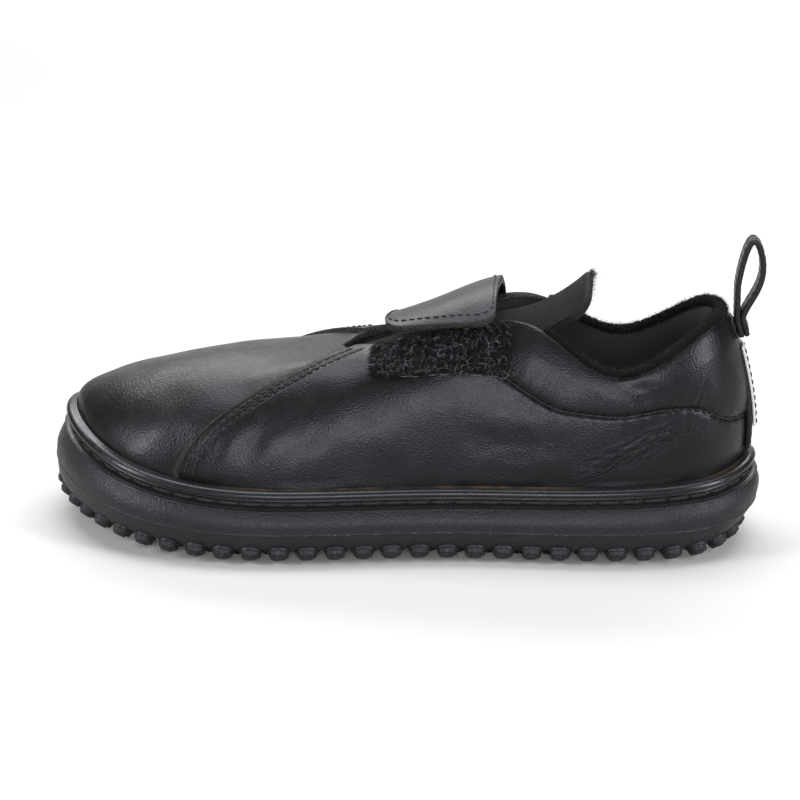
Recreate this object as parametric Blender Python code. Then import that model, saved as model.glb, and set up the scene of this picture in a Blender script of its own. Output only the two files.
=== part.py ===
"""Child's soft leather shoe for the left foot, standing unbent on the studs of its sole.

Sizes are millimetres. Along runs from the heel end to the toe, across is negative on the outer
side of the foot. In the finished part the toe points to -X and the outer side faces -Y.
"""

import math

import bmesh
import bpy
import numpy as np
from mathutils import Matrix, Vector

MM = 0.001
SEAT_GAP = 0.3
SHARP_ANGLE = 38.0

# Sole: outline, thickness and side wall
LENGTH = 204.0
STUD_HEIGHT = 2.4
FLOOR_THICKNESS = 3.2
TOE_SPRING = 6.0
SPRING_START = 138.0
HEEL_LIFT = 1.8
HEEL_LIFT_END = 18.0
WALL_LOW = 18.6
WALL_HEEL_RISE = 2.5
WALL_HEEL_END = 100.0
WALL_TOE_RISE = 5.0
WALL_TOE_START = 124.0
BUMPER_LEAN = 2.5
HEEL_TUCK = 3.0
HEEL_TUCK_END = 30.0
CUP_WALL = 5.0

OUTLINE = (
    # place, along, across
    ("heel end", 0.0, 0.0),
    ("outer heel corner", 9.5, -20.0),
    ("outer heel", 34.0, -30.5),
    ("outer waist", 86.0, -33.5),
    ("outer ball", 136.0, -41.0),
    ("outer toes", 176.0, -34.0),
    ("toe front", 197.0, -14.0),
    ("toe tip", LENGTH, 8.0),
    ("inner toes", 193.5, 29.0),
    ("inner ball", 152.0, 41.0),
    ("inner waist", 92.0, 31.5),
    ("inner heel", 34.0, 30.0),
    ("inner heel corner", 9.5, 20.0),
)

WALL_PROFILE = (
    # place, out from the outline, share of the wall height, lift
    ("tread edge", -9.5, 0.0, 0.0),
    ("low turn", -4.9, 0.0, 0.9),
    ("upper turn", -1.8, 0.0, 3.2),
    ("parting line", -0.2, 0.38, 0.0),
    ("belly", -0.1, 0.52, 0.0),
    ("shoulder", -1.7, 1.0, -5.6),
    ("lip", -2.1, 1.0, -4.9),
    ("lip inside", -2.9, 1.0, -4.6),
    ("groove floor", -3.6, 1.0, -3.8),
    ("groove top", -3.3, 1.0, -2.8),
    ("bead low", -2.5, 1.0, -2.4),
    ("bead crest", -2.1, 1.0, -1.4),
    ("bead high", -2.5, 1.0, -0.4),
    ("bead top", -3.4, 1.0, 0.0),
    ("bead inside", -4.3, 1.0, -0.4),
    ("cup wall", -4.7, 1.0, -1.8),
    ("cup floor", -CUP_WALL, 0.0, FLOOR_THICKNESS),
)
SOLE_COLUMNS = 34

# Studs: two rows along the edge of the tread and a staggered field between them
STUD_BURY = 1.3
STUD_TAPER = 0.8
EDGE_STUDS = {"inset": 4.0, "raise": 1.35, "pitch": 7.6, "radius": 3.1, "tilt": 34.0, "sides": 7}
RIM_STUDS = {"inset": 11.6, "raise": 0.0, "pitch": 8.6, "radius": 3.0, "tilt": 0.0, "sides": 6}
FIELD_STUDS = {"inset": 18.5, "pitch": 13.0, "radius": 3.3, "tilt": 0.0, "sides": 6}

# Insole
INSOLE_THICKNESS = 2.7
INSOLE_EASE = 0.9

# Upper: a wall of leather and lining drawn up from the sole to the collar and throat
UPPER_WALL = 2.2
LAP_STEP = 1.2
LAP_FADE = 0.11
LAP_START = 0.08
SEAM_SHARE = 0.72
SEAM_WIDTH = 0.0006
SEAM_CLEAR = 0.6
UPPER_COLUMNS = 30
UPPER_LEVELS = (0.0, 0.08, 0.2, 0.35, 0.5, 0.65, 0.8, 0.92, 1.0)
QUARTER_START = 0.25
QUARTER_SAMPLES = 120

SECTIONS = (
    # place, share of the half outline, top edge along, across and height,
    # rise and flare out of the sole, pull below the top edge along, across and height
    ("heel back", 0.0, 12.0, 0.0, 64.0, 13.0, 1.6, -4.0, 0.0, -14.0),
    ("heel corner", 0.09, 18.0, 14.5, 62.5, 13.0, 1.4, -3.2, 3.0, -13.5),
    ("ankle", 0.22, 40.0, 23.5, 51.5, 10.0, 1.0, -0.5, 2.6, -9.5),
    ("collar front", 0.36, 62.0, 17.5, 62.5, 13.0, 0.6, 2.0, 8.0, -13.0),
    ("strap line", 0.53, 87.0, 13.5, 60.0, 14.0, 0.0, 8.0, 11.0, -7.5),
    ("throat corner", SEAM_SHARE, 113.0, 8.5, 53.4, 13.0, -0.5, 19.0, 14.0, -4.0),
    ("toe side", 0.86, 116.5, 4.5, 52.6, 10.0, 0.0, 32.0, 14.0, -3.5),
    ("toe tip", 1.0, 118.0, 0.0, 52.4, 8.0, 0.0, 42.0, 3.0, -2.5),
)

# Tongue
TONGUE_THICKNESS = 2.8
TONGUE_COLUMNS = 10
TONGUE_ROWS = 12
TONGUE_CORNERS = {"run": 0.13, "across": 0.55}
TONGUE = (
    # place, along, height of the middle, half width, drop at the edges
    ("root", 128.0, 49.0, 11.0, 1.2),
    ("throat end", 114.0, 50.6, 12.5, 2.0),
    ("instep", 88.0, 59.4, 14.5, 4.0),
    ("collar", 64.0, 64.9, 13.8, 4.5),
    ("top", 50.0, 74.0, 14.5, 3.5),
)

# Collar trim
TRIM_SIDE_HEIGHT = 2.0
TRIM_HEEL_HEIGHT = 3.0
TRIM_PROUD = 0.4
TRIM_END_SHARE = 0.355
TRIM_COLUMNS = 38
TRIM_LEAN_LEVEL = 0.97
TRIM_PROFILE = (
    # share of the height, share of the upper's wall from its outer face, proud
    (0.0, 0.0, 0.0),
    (0.45, 0.0, TRIM_PROUD),
    (1.0, 0.3, 0.0),
    (1.0, 0.7, 0.0),
    (0.45, 1.0, -TRIM_PROUD),
    (0.0, 1.0, 0.0),
)

# Fastening: loop tape on the outer quarter, strap and hook tape from the inner quarter
TAPE_THICKNESS = 1.2
LOOP_TAPE = {"along": (70.0, 108.0), "level": (0.68, 0.97), "columns": 12, "rows": 6}
LOOP_TAPE_CORNERS = {"front": 5.0, "rear": 1.5, "share": 0.5}
STRAP_ALONG = (73.0, 103.0)
STRAP_BASE_LEVEL = (0.55, 0.985)
STRAP_THICKNESS = 2.2
STRAP_LIFT = 7.0
STRAP_END_LEVEL = 0.90
STRAP_LEAVE = 13.0
STRAP_ARRIVE = 12.0
STRAP_CORNER = 6.0
STRAP_CORNER_SHARE = 0.35
STRAP_LEAN_LEVELS = (0.9, 0.98)
STRAP_COLUMNS = 8
STRAP_BASE_ROWS = 4
STRAP_ARCH_ROWS = 12
HOOK_TAPE_SPAN = (0.52, 0.93)
HOOK_TAPE_EDGE = 0.8
HOOK_TAPE_ROWS = 6

# Heel strip, reflective strip and pull loop
HEEL_STRIP = {"half_width": 6.0, "level": (0.04, 0.965), "thickness": 1.3}
REFLECTIVE_STRIP = {"half_width": 4.5, "level": (0.2, 0.78), "thickness": 0.9}
HEEL_COLUMNS = 5
HEEL_ROWS = 9
PULL_WIDTH = 7.0
PULL_THICKNESS = 1.5
PULL_LEG_LEVEL = (0.84, 0.96)
PULL_LEG_ROWS = 4
PULL_ROWS = 34
PULL_LOOP = (
    # place, back from the strip's face, above the collar edge
    ("inner leg", 0.2, 5.0),
    ("inner side", 0.6, 11.0),
    ("crown", 3.6, 20.0),
    ("outer side", 6.6, 12.0),
    ("outer leg", 3.6, 3.0),
)

FINISHES = {
    # node: colour, roughness
    "outsole": ((0.018, 0.018, 0.019), 0.62),
    "insole": ((0.03, 0.03, 0.032), 0.9),
    "upper": ((0.012, 0.012, 0.013), 0.38),
    "tongue": ((0.03, 0.03, 0.032), 0.7),
    "collar_trim": ((0.025, 0.025, 0.027), 0.95),
    "loop_tape": ((0.02, 0.02, 0.021), 0.95),
    "strap": ((0.012, 0.012, 0.013), 0.4),
    "hook_tape": ((0.02, 0.02, 0.021), 0.8),
    "heel_strip": ((0.014, 0.014, 0.015), 0.5),
    "reflective_strip": ((0.55, 0.56, 0.57), 0.45),
    "pull_loop": ((0.014, 0.014, 0.015), 0.5),
}


def loop_spline(knots, values, period, at):
    """Smooth closed curve through the values at the knots, read at the given places."""
    knots = np.asarray(knots, float)
    values = np.asarray(values, float)
    count = len(knots)
    gaps = np.diff(np.append(knots, knots[0] + period))
    before = np.roll(gaps, 1)
    system = np.zeros((count, count))
    for row in range(count):
        system[row, row - 1] += before[row]
        system[row, row] += 2.0 * (before[row] + gaps[row])
        system[row, (row + 1) % count] += gaps[row]
    slopes = (np.roll(values, -1, axis=0) - values) / gaps[:, None]
    bends = np.linalg.solve(system, 6.0 * (slopes - np.roll(slopes, 1, axis=0)))
    place = (np.asarray(at, float) - knots[0]) % period + knots[0]
    left = np.searchsorted(knots, place, side="right") - 1
    right = (left + 1) % count
    gap = gaps[left][:, None]
    ahead = (place - knots[left])[:, None]
    behind = gap - ahead
    curve = (bends[left] * behind**3 + bends[right] * ahead**3) / (6.0 * gap)
    curve += (values[left] / gap - bends[left] * gap / 6.0) * behind
    curve += (values[right] / gap - bends[right] * gap / 6.0) * ahead
    return curve


def through(rows, at):
    """Smooth open curve through table rows, read at places from 0 to 1 along it."""
    values = np.array([row[1:] for row in rows], float)
    there_and_back = np.vstack([values, values[-2:0:-1]])
    knots = np.arange(len(there_and_back), dtype=float)
    span = len(values) - 1.0
    return loop_spline(knots, there_and_back, len(there_and_back), np.asarray(at) * span)


class Outline:
    """The sole's outline, read by a ring place: 0 heel, 1 toe, 2 heel again along the inner side."""

    SAMPLES = 4000

    def __init__(self):
        points = np.array([row[1:] for row in OUTLINE])
        steps = np.linalg.norm(np.roll(points, -1, axis=0) - points, axis=1)
        knots = np.append(0.0, np.cumsum(steps)[:-1])
        fine = np.linspace(0.0, steps.sum(), self.SAMPLES, endpoint=False)
        curve = loop_spline(knots, points, steps.sum(), fine)
        curve = np.roll(curve, -int(curve[:, 0].argmin()), axis=0)
        curve = np.vstack([curve, curve[:1]])
        toe = int(curve[:, 0].argmax())
        runs = np.append(0.0, np.cumsum(np.linalg.norm(np.diff(curve, axis=0), axis=1)))
        self.places = np.where(
            np.arange(len(curve)) <= toe,
            runs / runs[toe],
            1.0 + (runs - runs[toe]) / (runs[-1] - runs[toe]),
        )
        tangent = np.gradient(curve, axis=0)
        tangent[0] = tangent[-1] = tangent[0] + tangent[-1]
        tangent /= np.linalg.norm(tangent, axis=1)[:, None]
        self.curve = curve
        self.normals = np.column_stack([tangent[:, 1], -tangent[:, 0]])
        self.length = runs[-1]

    def at(self, place, out=0.0):
        place = np.asarray(place, float) % 2.0
        points = np.column_stack([np.interp(place, self.places, self.curve[:, k]) for k in (0, 1)])
        return points + self.normal(place) * np.reshape(out, (-1, 1))

    def normal(self, place):
        place = np.asarray(place, float) % 2.0
        ways = np.column_stack([np.interp(place, self.places, self.normals[:, k]) for k in (0, 1)])
        return ways / np.linalg.norm(ways, axis=1)[:, None]

    def even_places(self, inset, pitch):
        """Ring places about a pitch apart along the line at an inset from the outline."""
        fine = np.linspace(0.0, 2.0, self.SAMPLES)
        steps = np.linalg.norm(np.diff(self.at(fine, -inset), axis=0), axis=1)
        runs = np.append(0.0, np.cumsum(steps))
        count = round(runs[-1] / pitch)
        return np.interp((np.arange(count) + 0.5) * runs[-1] / count, runs, fine)

    def inset_of(self, point):
        """How far a plan point lies inside the outline, negative outside it."""
        gaps = self.curve - point
        nearest = int((gaps**2).sum(axis=1).argmin())
        return float(gaps[nearest] @ self.normals[nearest])


OUTSIDE = Outline()


def skin_height(along):
    """Underside of the sole between its studs, with toe spring and a slight lift at the heel."""
    spring = np.clip((along - SPRING_START) / (LENGTH - SPRING_START), 0.0, 1.0)
    lift = np.clip((HEEL_LIFT_END - along) / HEEL_LIFT_END, 0.0, 1.0)
    return STUD_HEIGHT + TOE_SPRING * spring**2 + HEEL_LIFT * lift**2


def wall_height(along):
    """Height of the sole's side wall, from its underside to the top of the bead."""
    heel = np.clip((WALL_HEEL_END - along) / WALL_HEEL_END, 0.0, 1.0)
    toe = np.clip((along - WALL_TOE_START) / (LENGTH - WALL_TOE_START), 0.0, 1.0)
    return WALL_LOW + WALL_HEEL_RISE * heel**2 + WALL_TOE_RISE * toe**2


def sole_ring(places, out, share, lift):
    """One ring of the sole's section, carried round the outline: its top leans back over the toe
    and its foot is tucked in under the heel."""
    edge = OUTSIDE.at(places)[:, 0]
    toe = np.clip((edge - WALL_TOE_START) / (LENGTH - WALL_TOE_START), 0.0, 1.0)
    heel = np.clip((HEEL_TUCK_END - edge) / HEEL_TUCK_END, 0.0, 1.0)
    drawn_in = BUMPER_LEAN * share * toe**2 + HEEL_TUCK * (1.0 - share) ** 2 * heel**2
    height = skin_height(edge) + share * wall_height(edge) + lift
    return np.column_stack([OUTSIDE.at(places, out - drawn_in), height])


def sole_middle():
    """Middle of the sole's plan box, where the part's origin stands."""
    places = np.linspace(0.0, 2.0, Outline.SAMPLES)
    rings = np.vstack([sole_ring(places, *row[1:]) for row in WALL_PROFILE])
    return (rings[:, :2].min(axis=0) + rings[:, :2].max(axis=0)) / 2.0


MIDDLE = sole_middle()


def side_share(place):
    """Share of the half outline and the side: -1 outer, +1 inner."""
    place = np.asarray(place, float) % 2.0
    return np.where(place <= 1.0, place, 2.0 - place), np.where(place <= 1.0, -1.0, 1.0)


def section_loop():
    """Top edges and pulls of the sections on both sides, in order round the shoe."""
    outer = [(row[1], -1.0, row[2:]) for row in SECTIONS]
    inner = [(2.0 - row[1], 1.0, row[2:]) for row in SECTIONS[-2:0:-1]]
    knots = [row[0] for row in outer + inner]
    values = []
    for _, side, (along, across, height, rise, flare, pull_a, pull_c, pull_h) in outer + inner:
        values.append((along, side * across, height, rise, flare, pull_a, side * pull_c, pull_h))
    return knots, values


SECTION_KNOTS, SECTION_VALUES = section_loop()


def upper_base(place, level):
    """Point of the upper's outer face without its laps: level 0 at the bead, 1 at the top edge."""
    place = np.asarray(place, float)
    level = np.reshape(level, (-1, 1)) * np.ones((len(place), 1))
    foot = sole_ring(place, -CUP_WALL - SEAT_GAP, 1.0, 0.0)
    rows = loop_spline(SECTION_KNOTS, SECTION_VALUES, 2.0, place)
    top = rows[:, 0:3]
    rise = np.column_stack([OUTSIDE.normal(place) * rows[:, 4:5], rows[:, 3]])
    pull = rows[:, 5:8]
    rest = 1.0 - level
    point = foot * rest**3 + 3.0 * (foot + rise) * rest**2 * level
    return point + 3.0 * (top + pull) * rest * level**2 + top * level**3


def upper_normal(place, level):
    """Outward direction of the upper's face."""
    place = np.asarray(place, float)
    level = np.asarray(level, float) * np.ones(len(place))
    nudge = 0.002
    low = np.maximum(level - nudge, 0.0)
    high = np.minimum(level + nudge, 1.0)
    round_way = upper_base(place + nudge, level) - upper_base(place - nudge, level)
    up_way = upper_base(place, high) - upper_base(place, low)
    normal = np.cross(round_way, up_way)
    return normal / np.linalg.norm(normal, axis=1)[:, None]


def lap_lift(place, level):
    """How far the quarters stand over the vamp behind the seam where they lap it."""
    share = side_share(place)[0]
    back = np.clip((share - (SEAM_SHARE - LAP_FADE)) / LAP_FADE, 0.0, 1.0)
    raised = np.where(share <= SEAM_SHARE, back * back * (3.0 - 2.0 * back), 0.0)
    return LAP_STEP * raised * np.clip(np.asarray(level) / LAP_START, 0.0, 1.0)


def upper_face(place, level, out):
    """Point at a distance out from the upper's outer face."""
    reach = lap_lift(place, level) + out
    return upper_base(place, level) + upper_normal(place, level) * np.reshape(reach, (-1, 1))


def places_along(along, level, side):
    """Ring places on the outer (-1) or inner (+1) side where the upper's face reaches an along."""
    shares = np.linspace(QUARTER_START, SEAM_SHARE, QUARTER_SAMPLES)
    places = shares if side < 0 else 2.0 - shares
    return np.interp(along, upper_base(places, level)[:, 0], places)


def placed(points):
    """Points of the shoe in the part's own frame, in metres."""
    points = np.asarray(points, float).reshape(-1, 3)
    across = points[:, 1] - MIDDLE[1]
    return np.column_stack([MIDDLE[0] - points[:, 0], across, points[:, 2]]) * MM


def finish(name):
    """A material of the node's own colour and roughness."""
    colour, roughness = FINISHES[name]
    material = bpy.data.materials.new(name)
    material.use_nodes = True
    shader = material.node_tree.nodes["Principled BSDF"]
    shader.inputs["Base Color"].default_value = (*colour, 1.0)
    shader.inputs["Roughness"].default_value = roughness
    shader.inputs["Metallic"].default_value = 0.0
    return material


def solid(name, points, faces):
    """A closed, smooth-shaded object of the given faces."""
    shape = bmesh.new()
    corners = [shape.verts.new(point) for point in placed(points)]
    for face in faces:
        shape.faces.new([corners[index] for index in face])
    bmesh.ops.recalc_face_normals(shape, faces=shape.faces)
    mesh = bpy.data.meshes.new(name)
    shape.to_mesh(mesh)
    shape.free()
    mesh.shade_smooth()
    mesh.set_sharp_from_angle(angle=math.radians(SHARP_ANGLE))
    mesh.materials.append(finish(name))
    built = bpy.data.objects.new(name, mesh)
    bpy.context.scene.collection.objects.link(built)
    return built


def thick_sheet(name, face, back):
    """A closed sheet between two grids of points, each rows by columns."""
    rows, columns = face.shape[:2]
    index = np.arange(rows * columns).reshape(rows, columns)
    under = index + rows * columns
    faces = []
    for row in range(rows - 1):
        for col in range(columns - 1):
            patch = [(row, col), (row, col + 1), (row + 1, col + 1), (row + 1, col)]
            faces.append([index[at] for at in patch])
            faces.append([under[at] for at in reversed(patch)])
    edge = [(0, col) for col in range(columns)]
    edge += [(row, columns - 1) for row in range(1, rows)]
    edge += [(rows - 1, col) for col in range(columns - 2, -1, -1)]
    edge += [(row, 0) for row in range(rows - 2, 0, -1)]
    for here, there in zip(edge, edge[1:] + edge[:1]):
        faces.append([index[there], index[here], under[here], under[there]])
    return solid(name, np.vstack([face.reshape(-1, 3), back.reshape(-1, 3)]), faces)


def ring_faces(count, rings):
    """Faces between stacked rings of equal count, closed round the loop."""
    faces = []
    for ring in range(rings - 1):
        for col in range(count):
            following = (col + 1) % count
            low, high = ring * count, (ring + 1) * count
            faces.append([low + col, low + following, high + following, high + col])
    return faces


def across_faces(count, first):
    """Strips across a ring whose place 0 is the heel and whose middle place is the toe."""
    half = count // 2
    faces = [[first, first + 1, first + count - 1]]
    for col in range(1, half - 1):
        far = count - col
        faces.append([first + col, first + col + 1, first + far - 1, first + far])
    faces.append([first + half - 1, first + half, first + half + 1])
    return faces


def stud(shape, centre, way, row):
    """One tapered stud, buried in the sole by STUD_BURY."""
    length = STUD_HEIGHT + STUD_BURY
    middle = centre + way * (STUD_HEIGHT - STUD_BURY) / 2.0
    spot = placed(middle)[0]
    tip = placed(middle + way)[0] - spot
    turn = Vector(tip).normalized().to_track_quat("Z", "Y").to_matrix().to_4x4()
    bmesh.ops.create_cone(
        shape,
        cap_ends=True,
        segments=row["sides"],
        radius1=row["radius"] * MM,
        radius2=row["radius"] * STUD_TAPER * MM,
        depth=length * MM,
        matrix=Matrix.Translation(spot) @ turn,
    )


def tread_way(along, outward, row):
    """Direction of a stud, square to the sole's underside and leaning out by the row's tilt."""
    slope = float(skin_height(along + 0.5) - skin_height(along - 0.5))
    down = np.array([slope, 0.0, -1.0])
    down /= np.linalg.norm(down)
    lean = math.radians(row["tilt"])
    way = down * math.cos(lean) + np.array([outward[0], outward[1], 0.0]) * math.sin(lean)
    return way / np.linalg.norm(way)


def field_spots():
    """Places of the staggered studs inside the two edge rows."""
    pitch = FIELD_STUDS["pitch"]
    step = pitch * math.sqrt(3.0) / 2.0
    reach = math.ceil(max(abs(row[2]) for row in OUTLINE) / pitch)
    for line in range(int(LENGTH / step) + 1):
        shift = pitch / 2.0 if line % 2 else 0.0
        for column in range(-reach, reach + 1):
            spot = np.array([(line + 0.5) * step, column * pitch + shift])
            if OUTSIDE.inset_of(spot) > FIELD_STUDS["inset"]:
                yield np.array([*spot, float(skin_height(spot[0]))])


def build_studs():
    """All studs in one hidden object that joins the outsole."""
    shape = bmesh.new()
    for row in (EDGE_STUDS, RIM_STUDS):
        places = OUTSIDE.even_places(row["inset"], row["pitch"])
        spots = sole_ring(places, -row["inset"], 0.0, row["raise"])
        for spot, outward in zip(spots, OUTSIDE.normal(places)):
            stud(shape, spot, tread_way(spot[0], outward, row), row)
    for spot in field_spots():
        stud(shape, spot, tread_way(spot[0], (0.0, 0.0), FIELD_STUDS), FIELD_STUDS)
    mesh = bpy.data.meshes.new("studs")
    shape.to_mesh(mesh)
    shape.free()
    studs = bpy.data.objects.new("studs", mesh)
    bpy.context.scene.collection.objects.link(studs)
    studs.hide_render = True
    studs.display_type = "WIRE"
    return studs


def build_outsole():
    """Cup sole: the wall's section swept round the outline, closed below and inside, with studs."""
    places = np.arange(2 * SOLE_COLUMNS) / SOLE_COLUMNS
    rings = [sole_ring(places, out, share, lift) for _, out, share, lift in WALL_PROFILE]
    count = len(places)
    faces = ring_faces(count, len(rings))
    faces += across_faces(count, 0)
    faces += [face[::-1] for face in across_faces(count, count * (len(rings) - 1))]
    outsole = solid("outsole", np.vstack(rings), faces)
    join = outsole.modifiers.new("studs", "BOOLEAN")
    join.operation = "UNION"
    join.solver = "EXACT"
    join.object = build_studs()


def build_insole():
    """Flat footbed on the cup's floor, inside the upper."""
    places = np.arange(2 * SOLE_COLUMNS) / SOLE_COLUMNS
    inset = -(CUP_WALL + 2.0 * SEAT_GAP + UPPER_WALL + INSOLE_EASE)
    low = FLOOR_THICKNESS + SEAT_GAP
    rings = [sole_ring(places, inset, 0.0, low + lift) for lift in (0.0, INSOLE_THICKNESS)]
    count = len(places)
    faces = ring_faces(count, 2) + across_faces(count, 0) + across_faces(count, count)
    solid("insole", np.vstack(rings), faces)


def upper_columns():
    """Ring places of the upper's columns, doubled at the two seams where the quarters lap the vamp."""
    even = np.arange(2 * UPPER_COLUMNS) / UPPER_COLUMNS
    seams = np.array([SEAM_SHARE, 2.0 - SEAM_SHARE])
    clear = SEAM_CLEAR / UPPER_COLUMNS
    kept = [place for place in even if np.abs(seams - place).min() > clear]
    doubled = np.concatenate([seams - SEAM_WIDTH, seams + SEAM_WIDTH])
    return np.sort(np.concatenate([kept, doubled]))


def build_upper():
    """Hollow leather shell, open below in the cup, along the throat and at the collar."""
    places = upper_columns()
    base = -CUP_WALL - 2.0 * SEAT_GAP
    lift = FLOOR_THICKNESS + SEAT_GAP
    outer = [sole_ring(places, base, 0.0, lift)]
    inner = [sole_ring(places, base - UPPER_WALL, 0.0, lift)]
    for level in UPPER_LEVELS:
        outer.append(upper_face(places, level, 0.0))
        inner.append(upper_base(places, level) - upper_normal(places, level) * UPPER_WALL)
    rings = outer + inner[::-1]
    count = len(places)
    faces = ring_faces(count, len(rings))
    last = count * (len(rings) - 1)
    for col in range(count):
        following = (col + 1) % count
        faces.append([last + col, last + following, following, col])
    solid("upper", np.vstack(rings), faces)


def tongue_grid(depth):
    """Grid of the tongue's face at a depth below its top face, its free end rounded at the corners."""
    side = np.linspace(-1.0, 1.0, TONGUE_COLUMNS + 1)
    run_in = np.clip((np.abs(side) - 1.0) / TONGUE_CORNERS["across"] + 1.0, 0.0, 1.0)
    reach = 1.0 - TONGUE_CORNERS["run"] * (1.0 - np.sqrt(1.0 - run_in**2))
    grid = np.empty((TONGUE_ROWS + 1, TONGUE_COLUMNS + 1, 3))
    for column, share in enumerate(side):
        rows = through(TONGUE, np.linspace(0.0, reach[column], TONGUE_ROWS + 1))
        along, height, half_width, drop = rows.T
        slope = np.gradient(height) / np.gradient(along)
        lean = np.hypot(slope, 1.0)
        grid[:, column, 0] = along + depth * slope / lean
        grid[:, column, 1] = share * half_width
        grid[:, column, 2] = height - drop * share**2 - depth / lean
    return grid


def build_tongue():
    """Thick tongue sewn under the vamp, rising between the quarters past the collar."""
    thick_sheet("tongue", tongue_grid(0.0), tongue_grid(TONGUE_THICKNESS))


def build_collar_trim():
    """Soft pile edge standing on the collar, from one throat corner round the heel to the other."""
    places = np.linspace(-TRIM_END_SHARE, TRIM_END_SHARE, TRIM_COLUMNS + 1)
    outer = upper_face(places, 1.0, 0.0)
    normal = upper_normal(places, 1.0)
    up_way = outer - upper_base(places, TRIM_LEAN_LEVEL)
    up_way /= np.linalg.norm(up_way, axis=1)[:, None]
    heelward = np.cos(np.clip(places / TRIM_END_SHARE, -1.0, 1.0) * math.pi / 2.0) ** 2
    height = TRIM_SIDE_HEIGHT + (TRIM_HEEL_HEIGHT - TRIM_SIDE_HEIGHT) * heelward
    lines = []
    for share, depth, proud in TRIM_PROFILE:
        rise = up_way * (SEAT_GAP + share * height)[:, None]
        lines.append(outer + rise + normal * (proud - depth * UPPER_WALL))
    count = len(TRIM_PROFILE)
    points = np.stack(lines, axis=1).reshape(-1, 3)
    faces = ring_faces(count, TRIM_COLUMNS + 1)
    faces.append(list(range(count)))
    faces.append([count * TRIM_COLUMNS + corner for corner in range(count)])
    solid("collar_trim", points, faces)


def upper_patch(name, places, levels, low, thickness):
    """A piece that follows the upper's face, from low to low plus thickness above it."""
    def grid(out):
        return np.stack([upper_face(places, level, out) for level in levels])
    thick_sheet(name, grid(low + thickness), grid(low))


def build_loop_tape():
    """Loop tape sewn to the outer quarter along the throat edge."""
    columns = np.linspace(0.0, 1.0, LOOP_TAPE["columns"])
    rear, front = LOOP_TAPE["along"]
    levels = np.linspace(*LOOP_TAPE["level"], LOOP_TAPE["rows"])
    share = LOOP_TAPE_CORNERS["share"]
    sides = []
    for out in (SEAT_GAP + TAPE_THICKNESS, SEAT_GAP):
        rows = []
        for row, level in enumerate(levels):
            from_middle = abs(2.0 * row / (len(levels) - 1.0) - 1.0)
            cut = 1.0 - math.sqrt(1.0 - (max(0.0, from_middle - 1.0 + share) / share) ** 2)
            ends = (rear + cut * LOOP_TAPE_CORNERS["rear"], front - cut * LOOP_TAPE_CORNERS["front"])
            along = np.interp(columns, (0.0, 1.0), ends)
            rows.append(upper_face(places_along(along, level, -1), level, out))
        sides.append(np.stack(rows))
    thick_sheet("loop_tape", *sides)


def strap_grid(out, span, edge, rows):
    """Grid of the strap's arch, from its fold at the inner throat edge to its free end."""
    side = edge * np.sin(np.linspace(-0.5, 0.5, STRAP_COLUMNS + 1) * math.pi)
    along = np.interp(side, (-1.0, 1.0), STRAP_ALONG)
    middle = SEAT_GAP + STRAP_THICKNESS / 2.0
    top = STRAP_BASE_LEVEL[1]
    below, above = STRAP_LEAN_LEVELS
    leave_from = upper_face(places_along(along, top, 1), top, middle)
    leave_way = leave_from - upper_face(places_along(along, below, 1), below, middle)
    arrive_at = upper_face(places_along(along, STRAP_END_LEVEL, -1), STRAP_END_LEVEL, STRAP_LIFT)
    arrive_way = arrive_at - upper_face(places_along(along, above, -1), above, STRAP_LIFT)
    leave_way *= STRAP_LEAVE / np.linalg.norm(leave_way, axis=1)[:, None]
    arrive_way *= STRAP_ARRIVE / np.linalg.norm(arrive_way, axis=1)[:, None]
    corner = STRAP_CORNER / np.linalg.norm(arrive_at - leave_from, axis=1)
    run_in = np.clip((np.abs(side) - 1.0) / STRAP_CORNER_SHARE + 1.0, 0.0, 1.0)
    reach = 1.0 - corner * (1.0 - np.sqrt(1.0 - run_in**2))
    grid = []
    for share_of_run in np.linspace(*span, rows):
        run = (share_of_run * reach)[:, None]
        rest = 1.0 - run
        point = leave_from * rest**3 + 3.0 * (leave_from + leave_way) * rest**2 * run
        point += 3.0 * (arrive_at - arrive_way) * rest * run**2 + arrive_at * run**3
        grid.append(point)
    grid = np.stack(grid)
    along_way = np.gradient(grid, axis=0)
    side_way = np.gradient(grid, axis=1)
    normal = np.cross(along_way, side_way)
    normal /= np.linalg.norm(normal, axis=2)[:, :, None]
    normal *= np.sign(normal[:, :, 2:3].mean())
    return grid + normal * out


def build_strap():
    """Leather strap sewn to the inner quarter, arching over the tongue with its end unfastened."""
    side = np.sin(np.linspace(-0.5, 0.5, STRAP_COLUMNS + 1) * math.pi)
    along = np.interp(side, (-1.0, 1.0), STRAP_ALONG)
    levels = np.linspace(*STRAP_BASE_LEVEL, STRAP_BASE_ROWS + 1)[:-1]
    half = STRAP_THICKNESS / 2.0
    sides = []
    for out in (half, -half):
        base = []
        for level in levels:
            places = places_along(along, level, 1)
            base.append(upper_face(places, level, SEAT_GAP + half + out))
        arch = strap_grid(out, (0.0, 1.0), 1.0, STRAP_ARCH_ROWS)
        sides.append(np.concatenate([np.stack(base), arch]))
    thick_sheet("strap", *sides)


def build_hook_tape():
    """Hook tape under the strap's free end."""
    top = -(STRAP_THICKNESS / 2.0 + SEAT_GAP)
    face = strap_grid(top, HOOK_TAPE_SPAN, HOOK_TAPE_EDGE, HOOK_TAPE_ROWS)
    back = strap_grid(top - TAPE_THICKNESS, HOOK_TAPE_SPAN, HOOK_TAPE_EDGE, HOOK_TAPE_ROWS)
    thick_sheet("hook_tape", face, back)


def heel_patch(name, sizes, low):
    """A strip up the middle of the heel."""
    reach = 2.0 * sizes["half_width"] / OUTSIDE.length
    places = np.linspace(-reach, reach, HEEL_COLUMNS)
    levels = np.linspace(*sizes["level"], HEEL_ROWS)
    upper_patch(name, places, levels, low, sizes["thickness"])


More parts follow.
